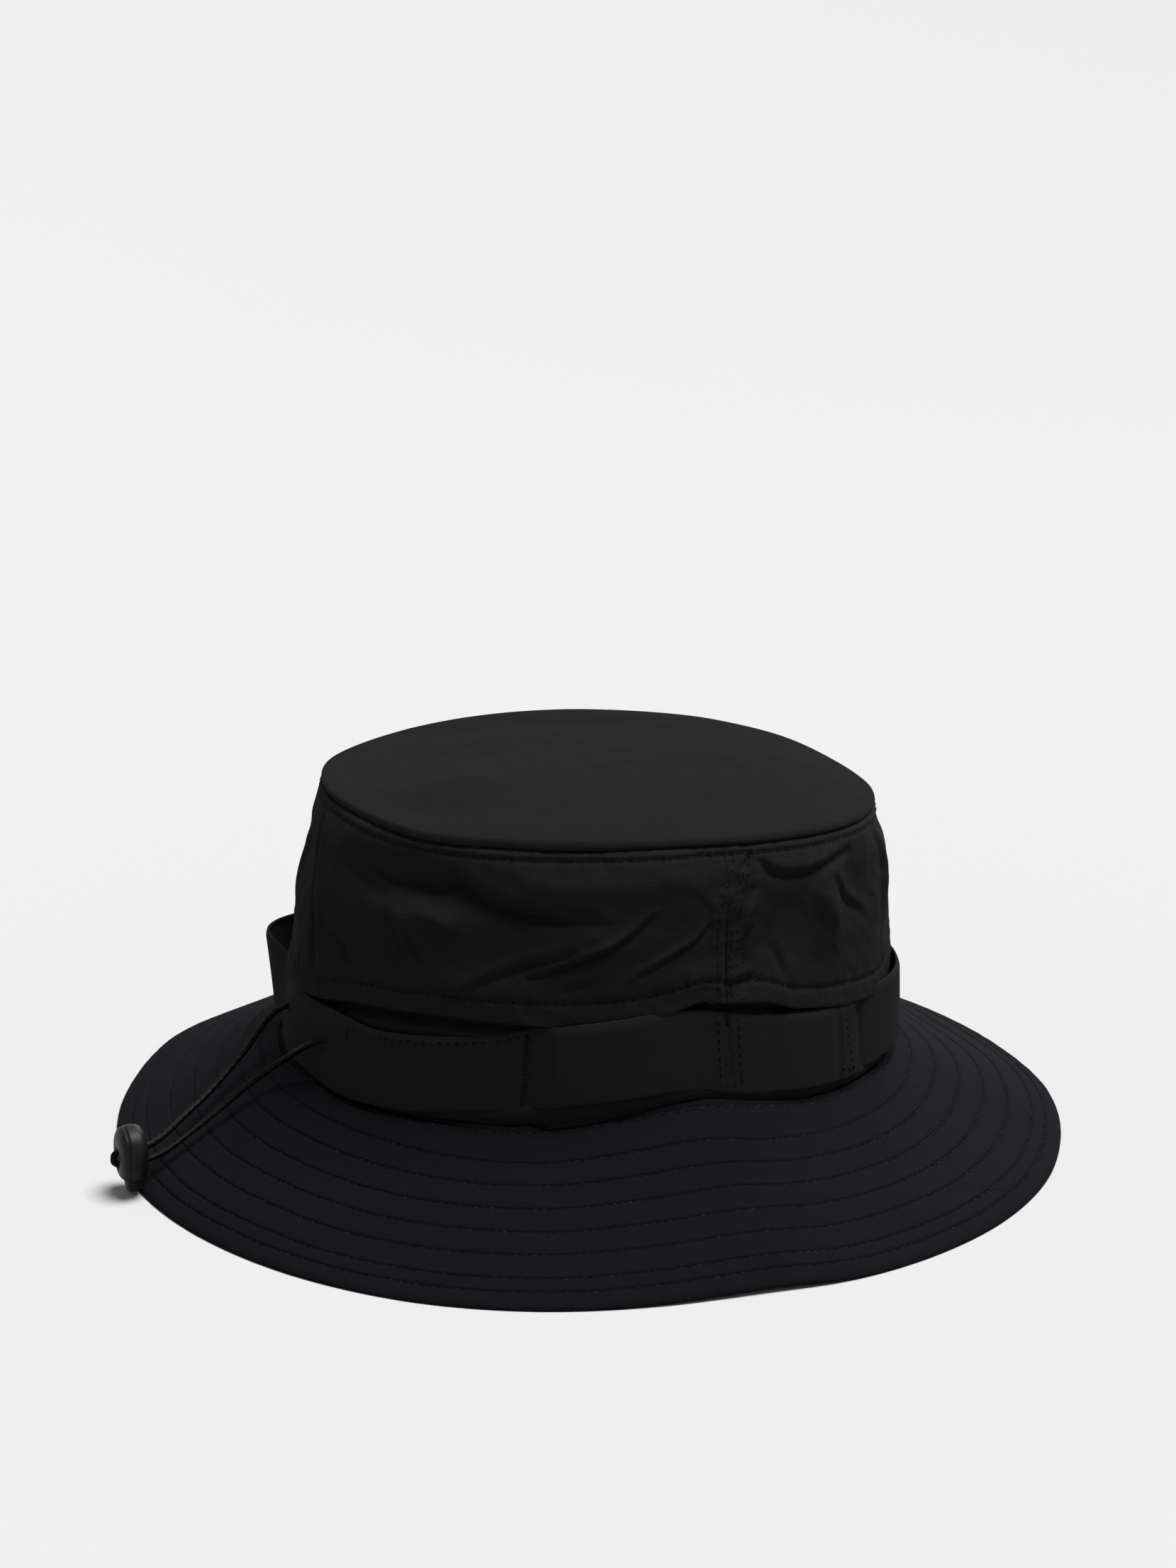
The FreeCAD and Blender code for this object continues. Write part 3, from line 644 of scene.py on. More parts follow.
TACK_PITCH = 36.0
TACKS = [18.0 + TACK_PITCH * step for step in range(10)]
# The two slack stretches: where each starts, how far its lower and upper edges stand off, and
# how sharply it leaves the hat.
LOOPS = ((-54.0, 8.0, 14.2, 2), (126.0, 3.2, 3.5, 1.3))


def slack(turn, share):
    """How far the webbing stands off at a height share: two stretches between tacks hang loose."""
    total = 0.0
    for start, low, top, sharp in LOOPS:
        place = ((turn - start) % 360.0) / TACK_PITCH
        place = np.where(place < 1.0, place, 0.0)
        total = total + np.sin(np.pi * place) ** sharp * (low + share * (top - low))
    between = ((turn - TACKS[0]) % TACK_PITCH) / TACK_PITCH
    return total + 0.45 * np.sin(np.pi * between) ** 2 * (0.4 + 0.6 * share) + swollen(turn)


ribbon_wave = ripples(31, 8, 30.0, 90.0)


def ribbon(turn, height, offset):
    """The webbing's outer face: height runs from its lower edge to its upper edge."""
    low, top = ribbon_low(turn), ribbon_top(turn)
    share = np.clip((height - low) / (top - low), 0, 1)
    tucked = 0.18 * ribbon_wave(arc(wrapped(turn), BAND_RADIUS), height)
    sunk = -0.9 * hump(wrapped(turn - 57.2), 0, 1.6) * smooth(0.0, 0.5, share)
    for tack in TACKS:
        sunk = sunk - (0.1 if tack == TACKS[0] else 0.7) * hump(wrapped(turn - tack), 0, 0.8)
    joint = np.abs(wrapped(turn)) - 90.2 - 1.2 * (1 - share)
    sunk = sunk + 0.45 * smooth(4.5, 0.1, -joint) * (joint < 0) - 0.5 * hump(joint, 0.15, 0.2)
    rolled = -0.5 * smooth(0.94, 1.0, share)
    return wall(turn, height, offset + 1.25 + slack(turn, share) + tucked + sunk + rolled)


ROWS = [6.0, 11.0, 19.8, 28.6, 37.4, 46.2, 55.0]
brim_wave = ripples(41, 12, 40.0, 130.0)
brim_fine = ripples(42, 30, 5.0, 14.0)


def join_reach(degrees):
    """How far out the brim's inner edge is."""
    return oval(np.radians(degrees), JOIN_WIDTH, JOIN_LENGTH)


def slant(degrees):
    """The brim's length along its slope."""
    return np.hypot(rim_radius(degrees) - join_reach(degrees), join_height(degrees) - rim_height(degrees))


def brim(degrees, run, offset):
    """A point off the brim's upper face, run millimetres in from its edge along the slope."""
    turn = np.radians(degrees)
    sine, cosine = np.sin(turn), np.cos(turn)
    low, slope = rim_height(degrees), slant(degrees)
    climb, inward = join_height(degrees) - low, rim_radius(degrees) - join_reach(degrees)
    share = run / slope
    reach = rim_radius(degrees) - share * inward
    height = low + share * climb
    bow = -1.2 * np.sin(np.pi * np.clip(share, 0, 1)) ** 2
    loose = smooth(0.0, 0.25, share) * smooth(1.05, 0.8, share)
    wave = 0.55 * brim_wave(reach * sine, reach * cosine) * loose
    fine = 0.05 * brim_fine(reach * sine, reach * cosine)
    quilt = -0.60 * hump(run, slope - JOIN_ROWS[0], 0.55)
    for row in ROWS:
        quilt = quilt - 0.60 * hump(run, row, 0.45)
    nearest = np.min([np.abs(run - row) for row in ROWS], axis=0)
    pucker = 0.12 * np.sin(arc(degrees, BRIM_RADIUS) * 2 * math.pi / 3.1) * hump(nearest, 0, 1.6)
    over = np.where(offset > -0.95, 1.0, np.where(offset < -1.35, -1.0, 0.0))
    lift = bow + wave + over * (quilt + pucker + fine) + offset
    reach = reach + climb / slope * lift
    height = height + inward / slope * lift
    return np.stack([-reach * sine, reach * cosine, np.maximum(height, 0.0)], -1)


# ---- stitches


def stitches(name, rows, length=1.9, gap=0.7, radius=0.28, lift=0.06, **how):
    """Rows of thread. Each row is (points, outward directions), close together, in millimetres."""
    sides, cuts = 6, 5
    angle = np.arange(sides) * 2 * math.pi / sides
    share = np.linspace(0, 1, cuts)
    rise = np.sin(math.pi * share) ** 0.7
    thick = radius * np.array([0.45, 0.9, 1.0, 0.9, 0.45])
    points, faces = [], []
    total = 0
    for line, out in rows:
        run = travelled(line)
        count = max(1, int(run[-1] / (length + gap)))
        step = run[-1] / count
        starts = (np.arange(count) + 0.12) * step
        starts = starts + rng.uniform(-0.06, 0.06, count) * step
        spots = starts[:, None] + share[None, :] * step * length / (length + gap)
        middle = sampled(line, run, spots)
        up = unit(sampled(out, run, spots))
        along = unit(middle[:, -1:, :] - middle[:, :1, :])
        aside = unit(np.cross(np.broadcast_to(along, up.shape), up))
        middle = middle + up * (rise * (lift + radius) - radius * 0.9)[None, :, None]
        middle = middle + aside * rng.uniform(-0.06, 0.06, (count, 1, 1))
        ring = np.cos(angle)[:, None] * up[:, :, None, :] + np.sin(angle)[:, None] * aside[:, :, None, :]
        tube = middle[:, :, None, :] + ring * thick[None, :, None, None]
        points.append(tube.reshape(-1, 3))
        for one in range(count):
            faces += tube_faces(cuts, sides, total + one * cuts * sides)
        total += count * cuts * sides
    return make(name, np.concatenate(points), faces, thread, **how)


def row(surface, degrees, height, offset=0.0, turned=1.0):
    """A line on a surface with its outward directions."""
    degrees = np.asarray(degrees, float)
    height = np.broadcast_to(np.asarray(height, float), degrees.shape)
    here = surface(degrees, height, np.full(degrees.shape, offset))
    there = surface(degrees, height, np.full(degrees.shape, offset + 1.0))
    return here, unit(there - here) * turned


ROUND = np.arange(0.0, 360.01, 0.4)

# ---- crown


for label, start, end in (("back", -90.0, 90.0), ("front", 90.0, 270.0)):
    cloth("crown_side_cloth_" + label, side, hem_edge, lambda d: seam_height(d) - 0.35, 1.1, 90,
          crown_cloth, start, end, 0.4, node="crown_side_" + label)
    cloth("crown_band_cloth_" + label, band, lambda d: join_height(d) - 0.8, level(66.0), 1.1, 34,
          crown_cloth, start, end, node="crown_band_" + label)


# The turned-up layer behind the hem.
cloth("crown_hem_fold", inside(side, 1.25), lambda d: hem_edge(d) + 0.1, lambda d: hem_edge(d) + 8.0,
      0.9, 9, crown_cloth)


TOP_HEIGHT = 120.9  # at its middle
ROLL = 1.3  # the radius of the top panel's edge
# Shallow dents and swells in the top: (angle, share out from the middle, width, depth across, height).
TOP_DENTS = [
    (14, 0.84, 12, 0.10, -1.5), (-8, 0.80, 26, 0.18, -1.8), (-42, 0.72, 16, 0.15, -2.2),
    (-75, 0.82, 20, 0.12, -1.8), (5, 0.5, 18, 0.12, 0.8), (-110, 0.75, 20, 0.12, -1.4),
    (150, 0.7, 20, 0.2, 0.5), (230, 0.6, 24, 0.25, -0.7), (60, 0.9, 16, 0.08, 0.3),
    (100, 0.86, 14, 0.1, -0.4), (185, 0.86, 14, 0.12, -0.5),
]


def top_edge(degrees):
    """The outermost line of the top panel, with its outward directions."""
    here, out = row(wall, degrees, top_height(degrees), 0.0)
    reach = 1.9 - shoulder(degrees) + 0.35 * slow(arc(degrees, SIDE_RADIUS), 50.0)
    return here + out * reach[:, None], out


def top_point(degrees, share, offset):
    """The domed top: share runs from 0 at the middle to 1 where the edge starts to roll over."""
    edge, out = top_edge(degrees)
    edge = edge - out * ROLL
    middle = np.array([LEAN[0], LEAN[1], 0.0])
    flat = middle + (edge - middle)[:, None, :] * share[..., None] * np.array([1, 1, 0])
    x, y = flat[..., 0], flat[..., 1]
    turn = degrees[:, None]
    brow = top_height(turn)
    rise = TOP_HEIGHT - brow
    rise = rise * (1 - share ** (2.0 + 0.12 * rise)) ** 0.9
    waves = 0.34 * slow(x, y) * smooth(1.0, 0.8, share) + 0.12 * quick(x, y) * smooth(1.0, 0.95, share)
    for angle, place, wide, across, height in TOP_DENTS:
        waves = waves + height * hump(wrapped(turn - angle), 0, wide) * hump(share, place, across)
    return np.stack([x, y, brow + rise + waves + offset], -1)


def build_top():
    """The top panel, rolled over at its edge and turned in at the seam."""
    degrees = np.arange(0.0, 360.0, 0.6)
    share = 1 - (1 - np.linspace(0.02, 1.0, 90)) ** 1.15
    share = np.broadcast_to(share, (len(degrees), 90))
    outer = top_point(degrees, share, 0.0)
    inner = top_point(degrees, share, -1.1)
    edge, out = top_edge(degrees)
    fall = seam_drop(degrees)
    rolled = []
    for one in np.radians([78.0, 64, 50, 36, 22, 8]):
        place = edge - out * ROLL * (1 - math.cos(one))
        place = place - np.array([0, 0, 1.0]) * (fall * (1 - math.sin(one)))[:, None]
        rolled.append(place)
    for inward, down in ((0.25, 0.1), (0.9, 0.2), (1.9, 0.0)):
        rolled.append(edge - out * inward - np.array([0, 0, 1.0]) * (fall + down)[:, None])
    points = np.concatenate([outer, np.stack(rolled, 1), inner[:, ::-1]], 1)
    rings, sides, _ = points.shape
    index = np.arange(rings * sides).reshape(rings, sides)
    after = np.roll(index, -1, 0)
    quads = np.stack([index[:, :-1], index[:, 1:], after[:, 1:], after[:, :-1]], -1).reshape(-1, 4)
    faces = quads.tolist()
    faces.append(index[:, 0].tolist())
    faces.append(index[::-1, -1].tolist())
    order = np.concatenate([quads.ravel(), index[:, 0], index[::-1, -1]])
    uv = points.reshape(-1, 3)[order][:, :2] @ np.array([[0.423, -0.906], [0.906, 0.423]])
    return make("crown_top_cloth", points.reshape(-1, 3), faces, top_cloth, uv, node="crown_top_panel")


top_panel = build_top()

# ---- brim


def brim_runs(far, near):
    """Distances in from the edge, closer together at the fold and at every row of stitching."""
    fixed = [0.0, 0.04, 0.12, 0.25, 0.45, 0.7, 1.0, 1.35, 1.75, 2.2]
    fixed += [row + step for row in ROWS for step in (-1.1, -0.7, -0.4, -0.2, 0.0, 0.2, 0.4, 0.7, 1.1)]
    for low, high in zip([2.2] + [row + 1.1 for row in ROWS], [row - 1.1 for row in ROWS] + [57.6]):
        count = max(1, int((high - low) / 0.9))
        fixed += [low + (high - low) * one / count for one in range(1, count)]
    fixed = np.array(sorted(one for one in fixed if one >= near))
    last = np.array([5.0, 4.0, 3.2, 2.7, 2.35, 2.05, 1.8, 1.55, 1.25, 0.9, 0.4, 0.0])
    fixed = np.broadcast_to(fixed, (len(far), len(fixed)))
    return np.concatenate([fixed, far[:, None] - last], 1)


def brim_layer(name, material, first, thick, near=0.0, **how):
    """One layer of the brim. Near the edge the two cloths draw together into one rounded fold."""
    degrees = np.arange(0.0, 360.0, 0.5)
    run = brim_runs(slant(degrees), near)
    turn = np.broadcast_to(degrees[:, None], run.shape)
    pinch = np.sqrt(np.clip(1 - (1 - np.clip(run / 2.6, 0, 1)) ** 2, 0, 1)) if near == 0 else 1.0
    middle = -1.15
    outer = middle + (first - middle) * pinch
    inner = middle + (first - thick - middle) * (0.15 + 0.85 * pinch)
    points = np.concatenate([brim(turn, run, outer), brim(turn, run, inner)[:, ::-1]], 1)
    reach = np.concatenate([run, run[:, ::-1] + 100.0], 1)
    lengths = np.stack([np.broadcast_to(arc(degrees[:, None], BRIM_RADIUS), reach.shape), reach], -1)
    last = lengths[:1] + np.array([2 * math.pi * BRIM_RADIUS, 0.0])
    lengths = np.concatenate([lengths, last], 0)
    lengths = np.concatenate([lengths, lengths[:, :1]], 1)
    return weave(points, True, lengths, name=name, material=material, **how)


brim_layer("brim_upper_cloth", brim_cloth, 0.0, 0.8, node="brim_upper")
brim_layer("brim_felt", felt_cloth, -1.0, 0.3, 3.2, node="brim_interlining")
brim_layer("brim_lower_cloth", brim_cloth, -1.5, 0.8, node="brim_lower")

# ---- webbing band

cloth("webbing_strip", ribbon, ribbon_low, ribbon_top, 1.0, 30, webbing_cloth, pitch=0.4,
      node="webbing_band")


def fold_end(turn, height, offset):
    """The webbing's cut end, folded over and sewn down on top of itself."""
    ridge = 0.5 * hump(turn, 118.6, 0.7) - 0.35 * hump(turn, 117.4, 0.7)
    return ribbon(turn, height, offset - 0.9 + 1.95 * smooth(93.0, 108.0, turn) + ridge)


cloth("webbing_end", fold_end, lambda d: ribbon_low(d) + 0.2, lambda d: ribbon_top(d) - 0.2, 0.85, 30,
      webbing_cloth, 93.0, 123.2, 0.4)

# ---- stitching

brim_rows = [row(brim, ROUND, one) for one in ROWS]
brim_rows += [row(brim, ROUND, slant(ROUND) - step) for step in JOIN_ROWS]
stitches("brim_stitches_upper", brim_rows)
stitches("brim_stitches_lower", [row(brim, ROUND + 0.7, one, -2.3, -1.0) for one in ROWS])

hem_line = hem_height(ROUND) + HEM_ROW
top_line = seam_height(ROUND) - TOP_ROW
seam_rows = [row(side, ROUND, hem_line), row(side, ROUND, top_line)]
for turned in (1.0, -1.0):
    for step in SEAM_ROWS:
        heights = np.arange(float(hem_edge(90.0 * turned)) + 0.6, 110.6, 0.5)
        seam_rows.append(row(side, turned * (seam_lean(heights) + step), heights))
stitches("crown_stitches", seam_rows)
inner_rows = [row(side, ROUND + 0.5, line, -1.3, -1.0) for line in (hem_line, top_line)]
stitches("crown_stitches_inside", inner_rows)

part = np.arange(19.0, 53.0, 0.4)
edge_rows = [row(ribbon, part, ribbon_top(part) - 1.3)]


def bar_tack(middle, wide=1.9, part=1.0):
    """A zigzag of thread up the webbing, or up the top part of it."""
    low, top = float(ribbon_low(middle)) + 0.9, float(ribbon_top(middle)) - 0.9
    low = top - part * (top - low)
    count = int((top - low) / 1.15)
    lines = []
    for one in range(count):
        a = low + (top - low) * one / count
        b = low + (top - low) * (one + 0.62) / count
        half = math.degrees(wide / 2 / BAND_RADIUS)
        turn = middle + np.linspace(-half, half, 5) * (1 if one % 2 else -1)
        lines.append(row(ribbon, turn, np.linspace(a, b, 5)))
    return lines


tack_rows = []
for tack in TACKS:
    if tack not in (90.0, 126.0, 270.0):  # the side seams, and under the webbing's end
        tack_rows += bar_tack(53.5 if tack == 54.0 else tack, part=0.28 if tack == 18.0 else 1.0)
for middle in (90.0, 270.0):
    tack_rows += bar_tack(middle + 0.8, 1.0, part=0.12)
    for step in (-1.7, 2.5):
        heights = np.arange(float(ribbon_low(middle)) + 0.8, float(ribbon_top(middle)) - 0.6, 0.5)
        edge_rows.append(row(ribbon, middle + step + 1.0 - (heights - 40.0) / 24.0, heights))
stitches("webbing_tack_threads", tack_rows, 30.0, 0.0, 0.28, 0.2, node="webbing_tacks")
stitches("webbing_edge_stitches", edge_rows, 2.0, 0.7, 0.26)
low, top = float(ribbon_low(119.5)) + 1.0, float(ribbon_top(119.5)) - 0.8
rise = np.linspace(0, 1, 40)
end_lines = [row(fold_end, 122.0 - 2.6 * rise, low + (top - low) * rise)]
end_lines.append(row(fold_end, 117.6 + 4.0 * rise, low + 0.3 + 3.4 * (1 - rise)))
stitches("webbing_end_stitches", end_lines, 2.0, 0.7, 0.26)

# ---- lining, seen from below


cloth("channel_tape_cloth", inside(wall, 3.9), level(37.0), level(51.0), 0.6, 16, inner_cloth, pitch=1.0,
      node="drawcord_channel_tape")
sweat_wave = ripples(51, 10, 18.0, 60.0)


def sweat(degrees, height, offset):
    """The sweatband's face towards the crown, rolled at its foot."""
    across = arc(wrapped(degrees), SWEAT_RADIUS)
    rolled = 0.7 * hump(height, 33.2, 1.6)
    return wall(degrees, height, offset - 4.6 - 0.25 * sweat_wave(across, height) - rolled)


cloth("sweatband_cloth", sweat, lambda d: join_height(d) - 0.6, level(63.0), 1.0, 40, sweat_cloth,
      pitch=0.6, node="sweatband")
sweat_rows = [row(sweat, ROUND, join_height(ROUND) + 2.4, -1.0, -1.0), row(sweat, ROUND, 61.0, -1.0, -1.0)]
stitches("sweatband_stitches", sweat_rows)


label_face = inside(sweat, 1.1)
cloth("care_label_cloth", label_face, level(36.5), level(54.0), 0.35, 20, label_cloth, 171.0, 189.0,
      node="care_label")
label_rows = []
for edge in (172.2, 187.8):
    heights = np.arange(37.0, 53.5, 0.5)
    label_rows.append(row(label_face, np.full(heights.shape, edge), heights, -0.35, -1.0))
stitches("label_stitches", label_rows, 1.6, 0.7, 0.2)


behind_side = inside(side, 1.6)
cloth("top_seam_binding", behind_side, lambda d: seam_height(d) - 8.0, lambda d: seam_height(d) - 0.9,
      0.7, 12, inner_cloth, pitch=0.6, node="top_seam_tape")
for label, middle in (("left", 90.0), ("right", -90.0)):
    cloth("side_seam_binding_" + label, behind_side, level(66.5), level(108.2), 0.6, 40, inner_cloth,
          middle - 3.0, middle + 3.0, node="side_seam_tape_" + label)

# ---- drawcord

CORD_WIDTH = 2.0
CORD_LEVEL = 44.0  # where the cord runs round the head and leaves the buttonholes
CORD_ROUTE = [
    (18.0, 97.4, 44.0), (18.2, 103.6, 43.8), (18.6, 108.4, 39.6), (18.2, 114.0, 32.4),
    (15.4, 121.6, 26.4), (10.6, 131.4, 20.2), (4.0, 141.6, 16.6), (-4.6, 150.6, 14.6),
    (-9.9, 157.4, 14.1), (-10.0, 163.2, 14.1), (-10.0, 168.4, 14.1), (-10.0, 168.4, 9.9),
    (-10.0, 163.0, 9.9), (-10.1, 157.0, 9.95), (-8.4, 150.2, 11.4), (-5.4, 142.0, 14.8),
    (-2.6, 132.6, 19.0), (-1.4, 122.8, 25.0), (-3.4, 114.0, 31.4), (-8.6, 108.0, 37.2),
    (-14.4, 105.6, 41.4), (-18.2, 102.6, 43.8), (-18.0, 97.4, 44.0),
]


def smooth_line(points):
    """Points along one smooth curve that has these control points, in millimetres."""
    curve = bpy.data.curves.new("cord_line", "CURVE")
    curve.dimensions = "3D"
    spline = curve.splines.new("NURBS")
    spline.points.add(len(points) - 1)
    for point, place in zip(spline.points, points):
        point.co = (*place, 1.0)
    spline.order_u = 3
    spline.use_endpoint_u = True
    spline.resolution_u = 24
    holder = added("cord_line", curve)
    bpy.context.view_layer.update()
    mesh = bpy.data.meshes.new_from_object(holder)
    line = np.array([vertex.co for vertex in mesh.vertices], float)
    bpy.data.objects.remove(holder)
    bpy.data.curves.remove(curve)
    bpy.data.meshes.remove(mesh)
    return line


def braid(name, line, radius, step, **how):
    """A round braid along a line: two sets of strands that pass over and under each other."""
    run = travelled(line)
    spots = np.linspace(0, run[-1], int(run[-1] / step) + 1)
    middle = sampled(line, run, spots)
    along = unit(np.gradient(middle, axis=0))
    sides = 20
    up = np.zeros(middle.shape)
    now = unit(np.cross(along[0], [0.3, 0.2, 1.0]))
    for one in range(len(middle)):
        now = unit(now - along[one] * np.dot(now, along[one]))
        up[one] = now
    aside = np.cross(along, up)
    angle = np.arange(sides) * 2 * math.pi / sides
    twist = 2 * spots[:, None] * 2 * math.pi / (6.4 * radius)
    over = np.maximum(np.sin(4 * angle + twist), np.sin(4 * angle - twist))
    thick = radius * (0.955 + 0.065 * over)
    ring = np.cos(angle)[None, :, None] * up[:, None] + np.sin(angle)[None, :, None] * aside[:, None]
    points = middle[:, None] + ring * thick[..., None]
    round_it = np.linspace(0, 2 * math.pi * radius, sides + 1)
    lengths = np.stack(np.meshgrid(spots, round_it, indexing="ij"), -1)[..., ::-1]
    return weave(points, False, lengths, name=name, material=cord_cloth, **how), middle


cord, cord_path = braid("drawcord_braid", smooth_line(CORD_ROUTE), CORD_WIDTH / 2, 0.22, body=None,
                        node="drawcord_loop")
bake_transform(cord)
around_head = np.arange(10.5, 349.6, 1.0)
channel_line = wall(around_head, np.full(around_head.shape, CORD_LEVEL), -2.5)
braid("drawcord_hidden", channel_line, 0.98, 0.8, node="drawcord_in_channel")

# ---- buttonholes


BUTTONHOLE_TURN = 10.45


def buttonhole(name, middle, node):
    """Close satin stitches all round an upright slit, and the dark slit itself left open."""
    lines = []
    for share in np.arange(64) / 64 * 2 * math.pi:
        across, up = math.cos(share), math.sin(share)
        upright = 1.6 * np.sign(up) * (abs(up) > 0.25) + 1.4 * up
        inner = np.array([1.25 * across * 0.7, upright * 0.86])
        outer = np.array([1.25 * across * 1.5, upright * 1.12])
        spots = inner + (outer - inner) * np.linspace(0, 1, 5)[:, None]
        lines.append(row(ribbon, middle + np.degrees(spots[:, 0] / 101.0), CORD_LEVEL + spots[:, 1]))
    stitches(name, lines, 30.0, 0.0, 0.15, 0.04, node=node)


buttonhole("buttonhole_thread_left", BUTTONHOLE_TURN, "cord_buttonhole_left")
buttonhole("buttonhole_thread_right", -BUTTONHOLE_TURN, "cord_buttonhole_right")

# ---- cord lock

LOCK = np.array([-10.0, 162.6])  # the lock's middle, seen from above
LOCK_LEVEL = 12.9


def stadium(middle, radius, spacing, upright, count=20):
    """Points round a shape with two round ends."""
    angle = math.pi * (np.arange(2 * count) + 0.5) / count
    across = radius * np.cos(angle)
    along = radius * np.sin(angle) + spacing / 2 * np.where(np.sin(angle) > 0, 1, -1)
    return np.asarray(middle) + np.stack([across, along] if upright else [along, across], -1)


def prism(name, outline, low, high, order):
    """A plain closed tool for cutting: an outline carried from low to high, in an order of axes."""
    ends = [np.column_stack([outline, np.full(len(outline), at)])[:, order] for at in (low, high)]
    return solid(name, np.concatenate(ends), tube_faces(2, len(outline)))


def ball(name, middle, half):
    """A closed ball-like tool."""
    rings, sides = 18, 28
    fall = math.pi * np.arange(rings - 1, 0, -1)[:, None] / rings
    angle = 2 * math.pi * np.arange(sides) / sides
    flat = np.sin(fall) * np.array([np.cos(angle), np.sin(angle)])[:, None]
    spots = np.stack([*flat, np.broadcast_to(np.cos(fall), flat[0].shape)], -1)
    points = np.array(middle) + np.array(half) * spots
    return solid(name, points.reshape(-1, 3), tube_faces(rings - 1, sides))


def carve(obj, tools):
    """Cuts tools out of an object and keeps the result as its own mesh."""
    for tool in tools:
        cutter = obj.modifiers.new("carve", "BOOLEAN")
        cutter.operation = "DIFFERENCE"
        cutter.solver = "EXACT"
        cutter.object = tool
    bpy.context.view_layer.update()
    shape = bpy.data.meshes.new_from_object(obj.evaluated_get(bpy.context.evaluated_depsgraph_get()))
    obj.modifiers.clear()
    obj.data = shape
    for tool in tools:
        bpy.data.objects.remove(tool)


THROUGH = {"low": 150.0, "high": 175.0, "order": [0, 2, 1]}  # a hole right through, front to back
DOWN = {"low": -1.0, "high": 20.4, "order": [0, 1, 2]}


def bent(value, power):
    """A value raised to a power, with its sign kept."""
    return np.sign(value) * np.abs(value) ** power


def pebble():
    """The lock's shell: flat-cheeked, wider above, with a groove round its outer cheek."""
    angle = np.linspace(0, 2 * math.pi, 97)[:-1]
    x, z = bent(np.cos(angle), 0.92), bent(np.sin(angle), 0.92)
    points = []
    for cheek in np.sin(np.linspace(-1, 1, 61) * math.pi / 2) * 0.999:
        size = (1 - abs(cheek) ** 3.3) ** (1 / 3.3)
        groove = 0.6 * hump(cheek, 0.42, 0.06)
        wide = 7.9 * (1 + 0.05 * z) * size - groove
        height = LOCK_LEVEL + (9.2 * size - groove) * z
        shrink = np.where(height < 5.9, 0.93, 1.0)
        height = np.maximum(height, 5.7 + 0.6 * (1 - size))
        depth = np.full(x.shape, LOCK[1] + 4.65 * cheek)
        points.append(np.stack([LOCK[0] + wide * x * shrink, depth, height], -1))
    shell = weave(np.stack(points), False, name="lock_shell", material=lock_plastic,
                  body="cord_lock", node="cord_lock_body")
    dents = [ball("tool_dent", (LOCK[0], LOCK[1] + step, 12.0), (2.9, 2.2, 4.3)) for step in (5.4, -5.4)]
    hole = prism("tool_hole", stadium((LOCK[0], 12.0), 1.6, 3.4, True), **THROUGH)
    well = prism("tool_well", stadium(LOCK, 2.35, 3.4, False), **DOWN)
    carve(shell, [hole, well, *dents])


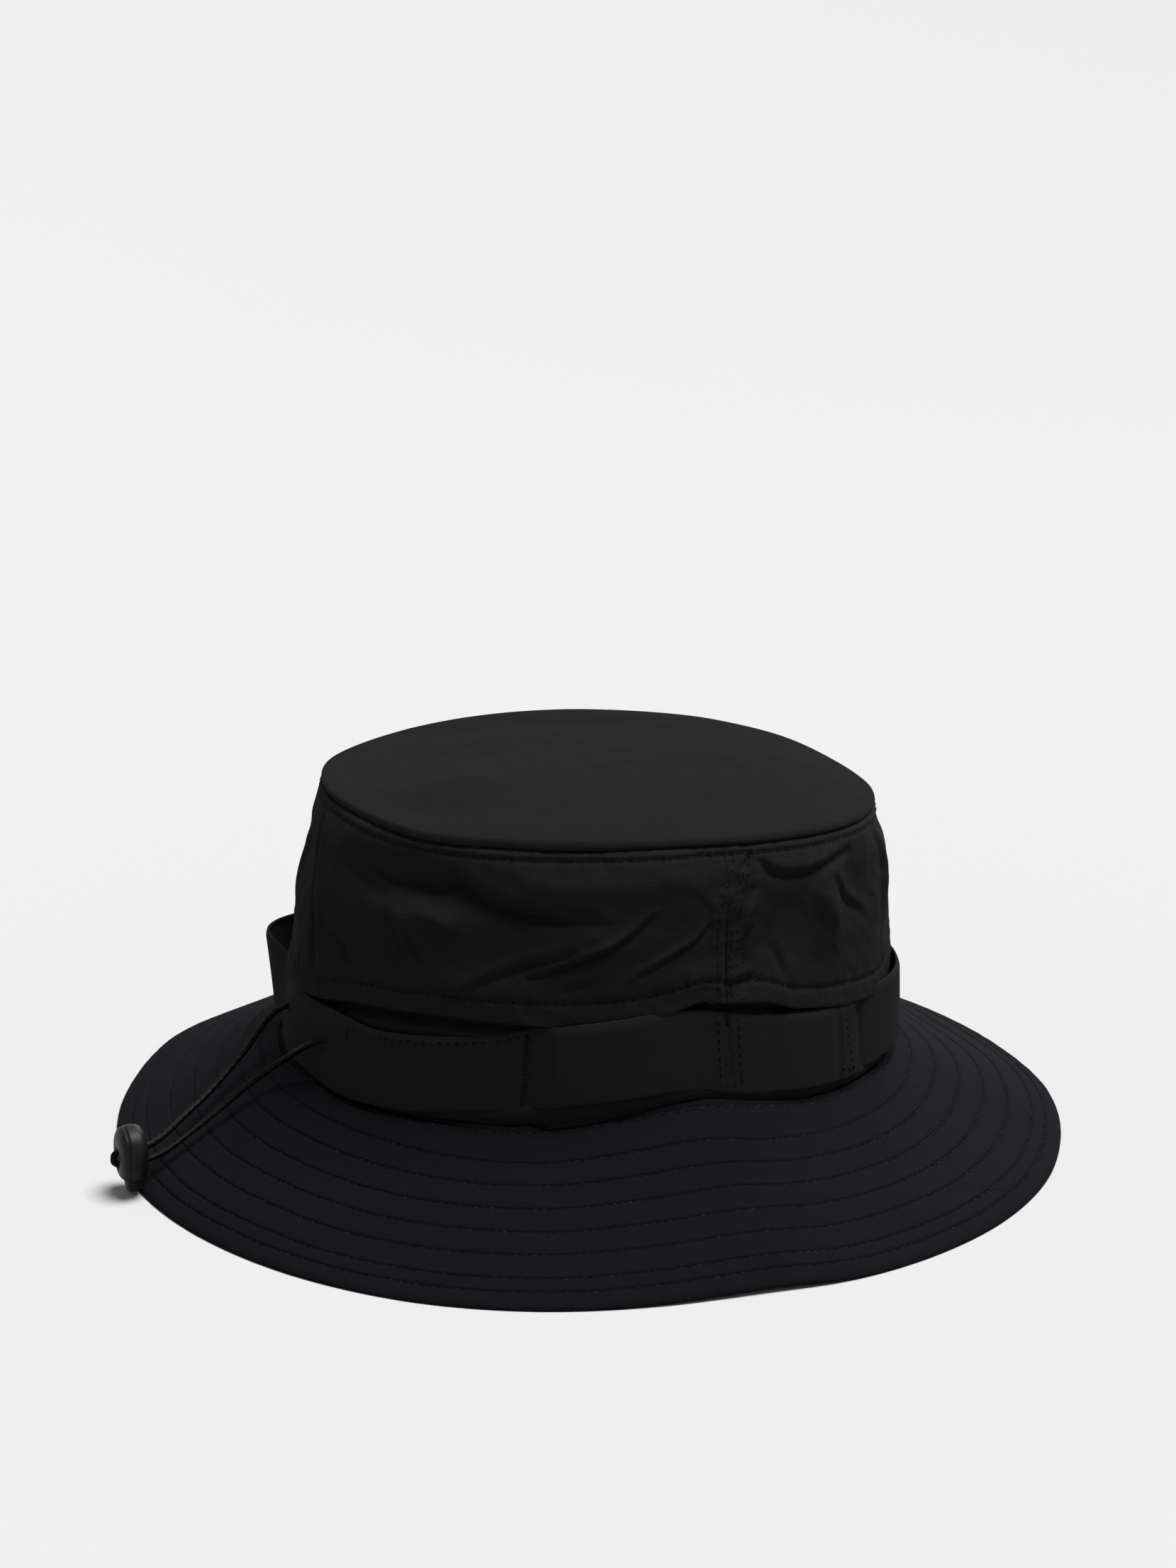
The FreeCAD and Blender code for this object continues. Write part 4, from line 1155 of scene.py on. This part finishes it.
def plunger():
    """The sprung foot: ribbed where a thumb presses it, plain above, with a window for the cord."""
    ribbed, plain = np.arange(1.45, 5.6, 0.1), np.arange(5.6, 16.9, 0.6)
    heights = np.concatenate([[1.0, 1.05, 1.25], ribbed, plain, [16.9]])
    outline = stadium((0.0, 0.0), 2.2, 3.4, False, 24)
    points = []
    for height in heights:
        rib = 0.17 * math.sin(height * 2 * math.pi / 0.8) if 1.4 < height < 5.3 else 0.0
        ease = 0.80 if height < 1.03 else 0.9 if height < 1.2 else 1.0
        taper = 0.88 + 0.12 * float(smooth(1.0, 6.0, height))
        scale = ease * taper * (1 + rib / 2.6)
        points.append(np.column_stack([outline * scale + LOCK, np.full(len(outline), height)]))
    foot = weave(np.stack(points), False, name="lock_plunger_foot", material=plunger_plastic,
                 body="lock_plunger", node="cord_lock_plunger")
    carve(foot, [prism("tool_window", stadium((LOCK[0], 10.6), 1.6, 6.2, True), **THROUGH)])


pebble()
plunger()
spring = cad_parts["cord_lock_spring"]
for material_slot in spring.material_slots:
    material_slot.material = spring_steel
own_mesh(spring)

# ---- floor and light


def dish():
    """A pale floor that turns up gently far away, so that it fills the view from any side."""
    reach = [600.0, 1200.0, 2000.0, 2400.0, 3000.0, 4000.0, 6000.0, 9000.0, 14000.0]
    rise = [0.0, 0.0, 0.0, 12.0, 60.0, 210.0, 620.0, 1400.0, 2900.0]
    sides = 96
    angle = 2 * math.pi * np.arange(sides) / sides
    points = []
    for far, up in zip(reach[::-1], rise[::-1]):
        points.append(np.stack([far * np.cos(angle), far * np.sin(angle), np.full(sides, up - 0.2)], -1))
    faces = tube_faces(len(reach), sides)
    del faces[-2]
    floor = solid("floor", np.concatenate(points), faces)
    floor.data.polygons.foreach_set("use_smooth", [True] * len(floor.data.polygons))
    floor.data.materials.append(shader("paper", (0.40, 0.40, 0.40), 1.0, 0.0))
    return floor


floor = dish()
world = bpy.data.worlds.new("studio")
world.use_nodes = True
world.node_tree.nodes["Background"].inputs["Color"].default_value = (1.0, 1.0, 1.0, 1)
world.node_tree.nodes["Background"].inputs["Strength"].default_value = 0.32
bpy.context.scene.world = world


def skylight(name, toward, strength, softness):
    """A broad soft light from a direction."""
    data = bpy.data.lights.new(name, "SUN")
    data.energy = strength
    data.angle = math.radians(softness)
    obj = added(name, data)
    obj.location = Vector(toward) * 2
    obj.rotation_euler = Vector(toward).to_track_quat("Z", "Y").to_euler()
    return obj


skylight("light_above", (-0.10, -0.27, 0.95), 6.1, 30.0)
fill = skylight("light_behind", (0.62, -0.66, 0.42), 1.5, 36.0)
# The second light reaches neither the floor nor the crown's top panel.
shaded = bpy.data.collections.new("not_lit_from_behind")
for one in (floor, top_panel):
    shaded.objects.link(one)
fill.light_linking.receiver_collection = shaded
for entry in shaded.collection_objects:
    entry.light_linking.link_state = "EXCLUDE"
bpy.context.scene.view_settings.view_transform = "Standard"
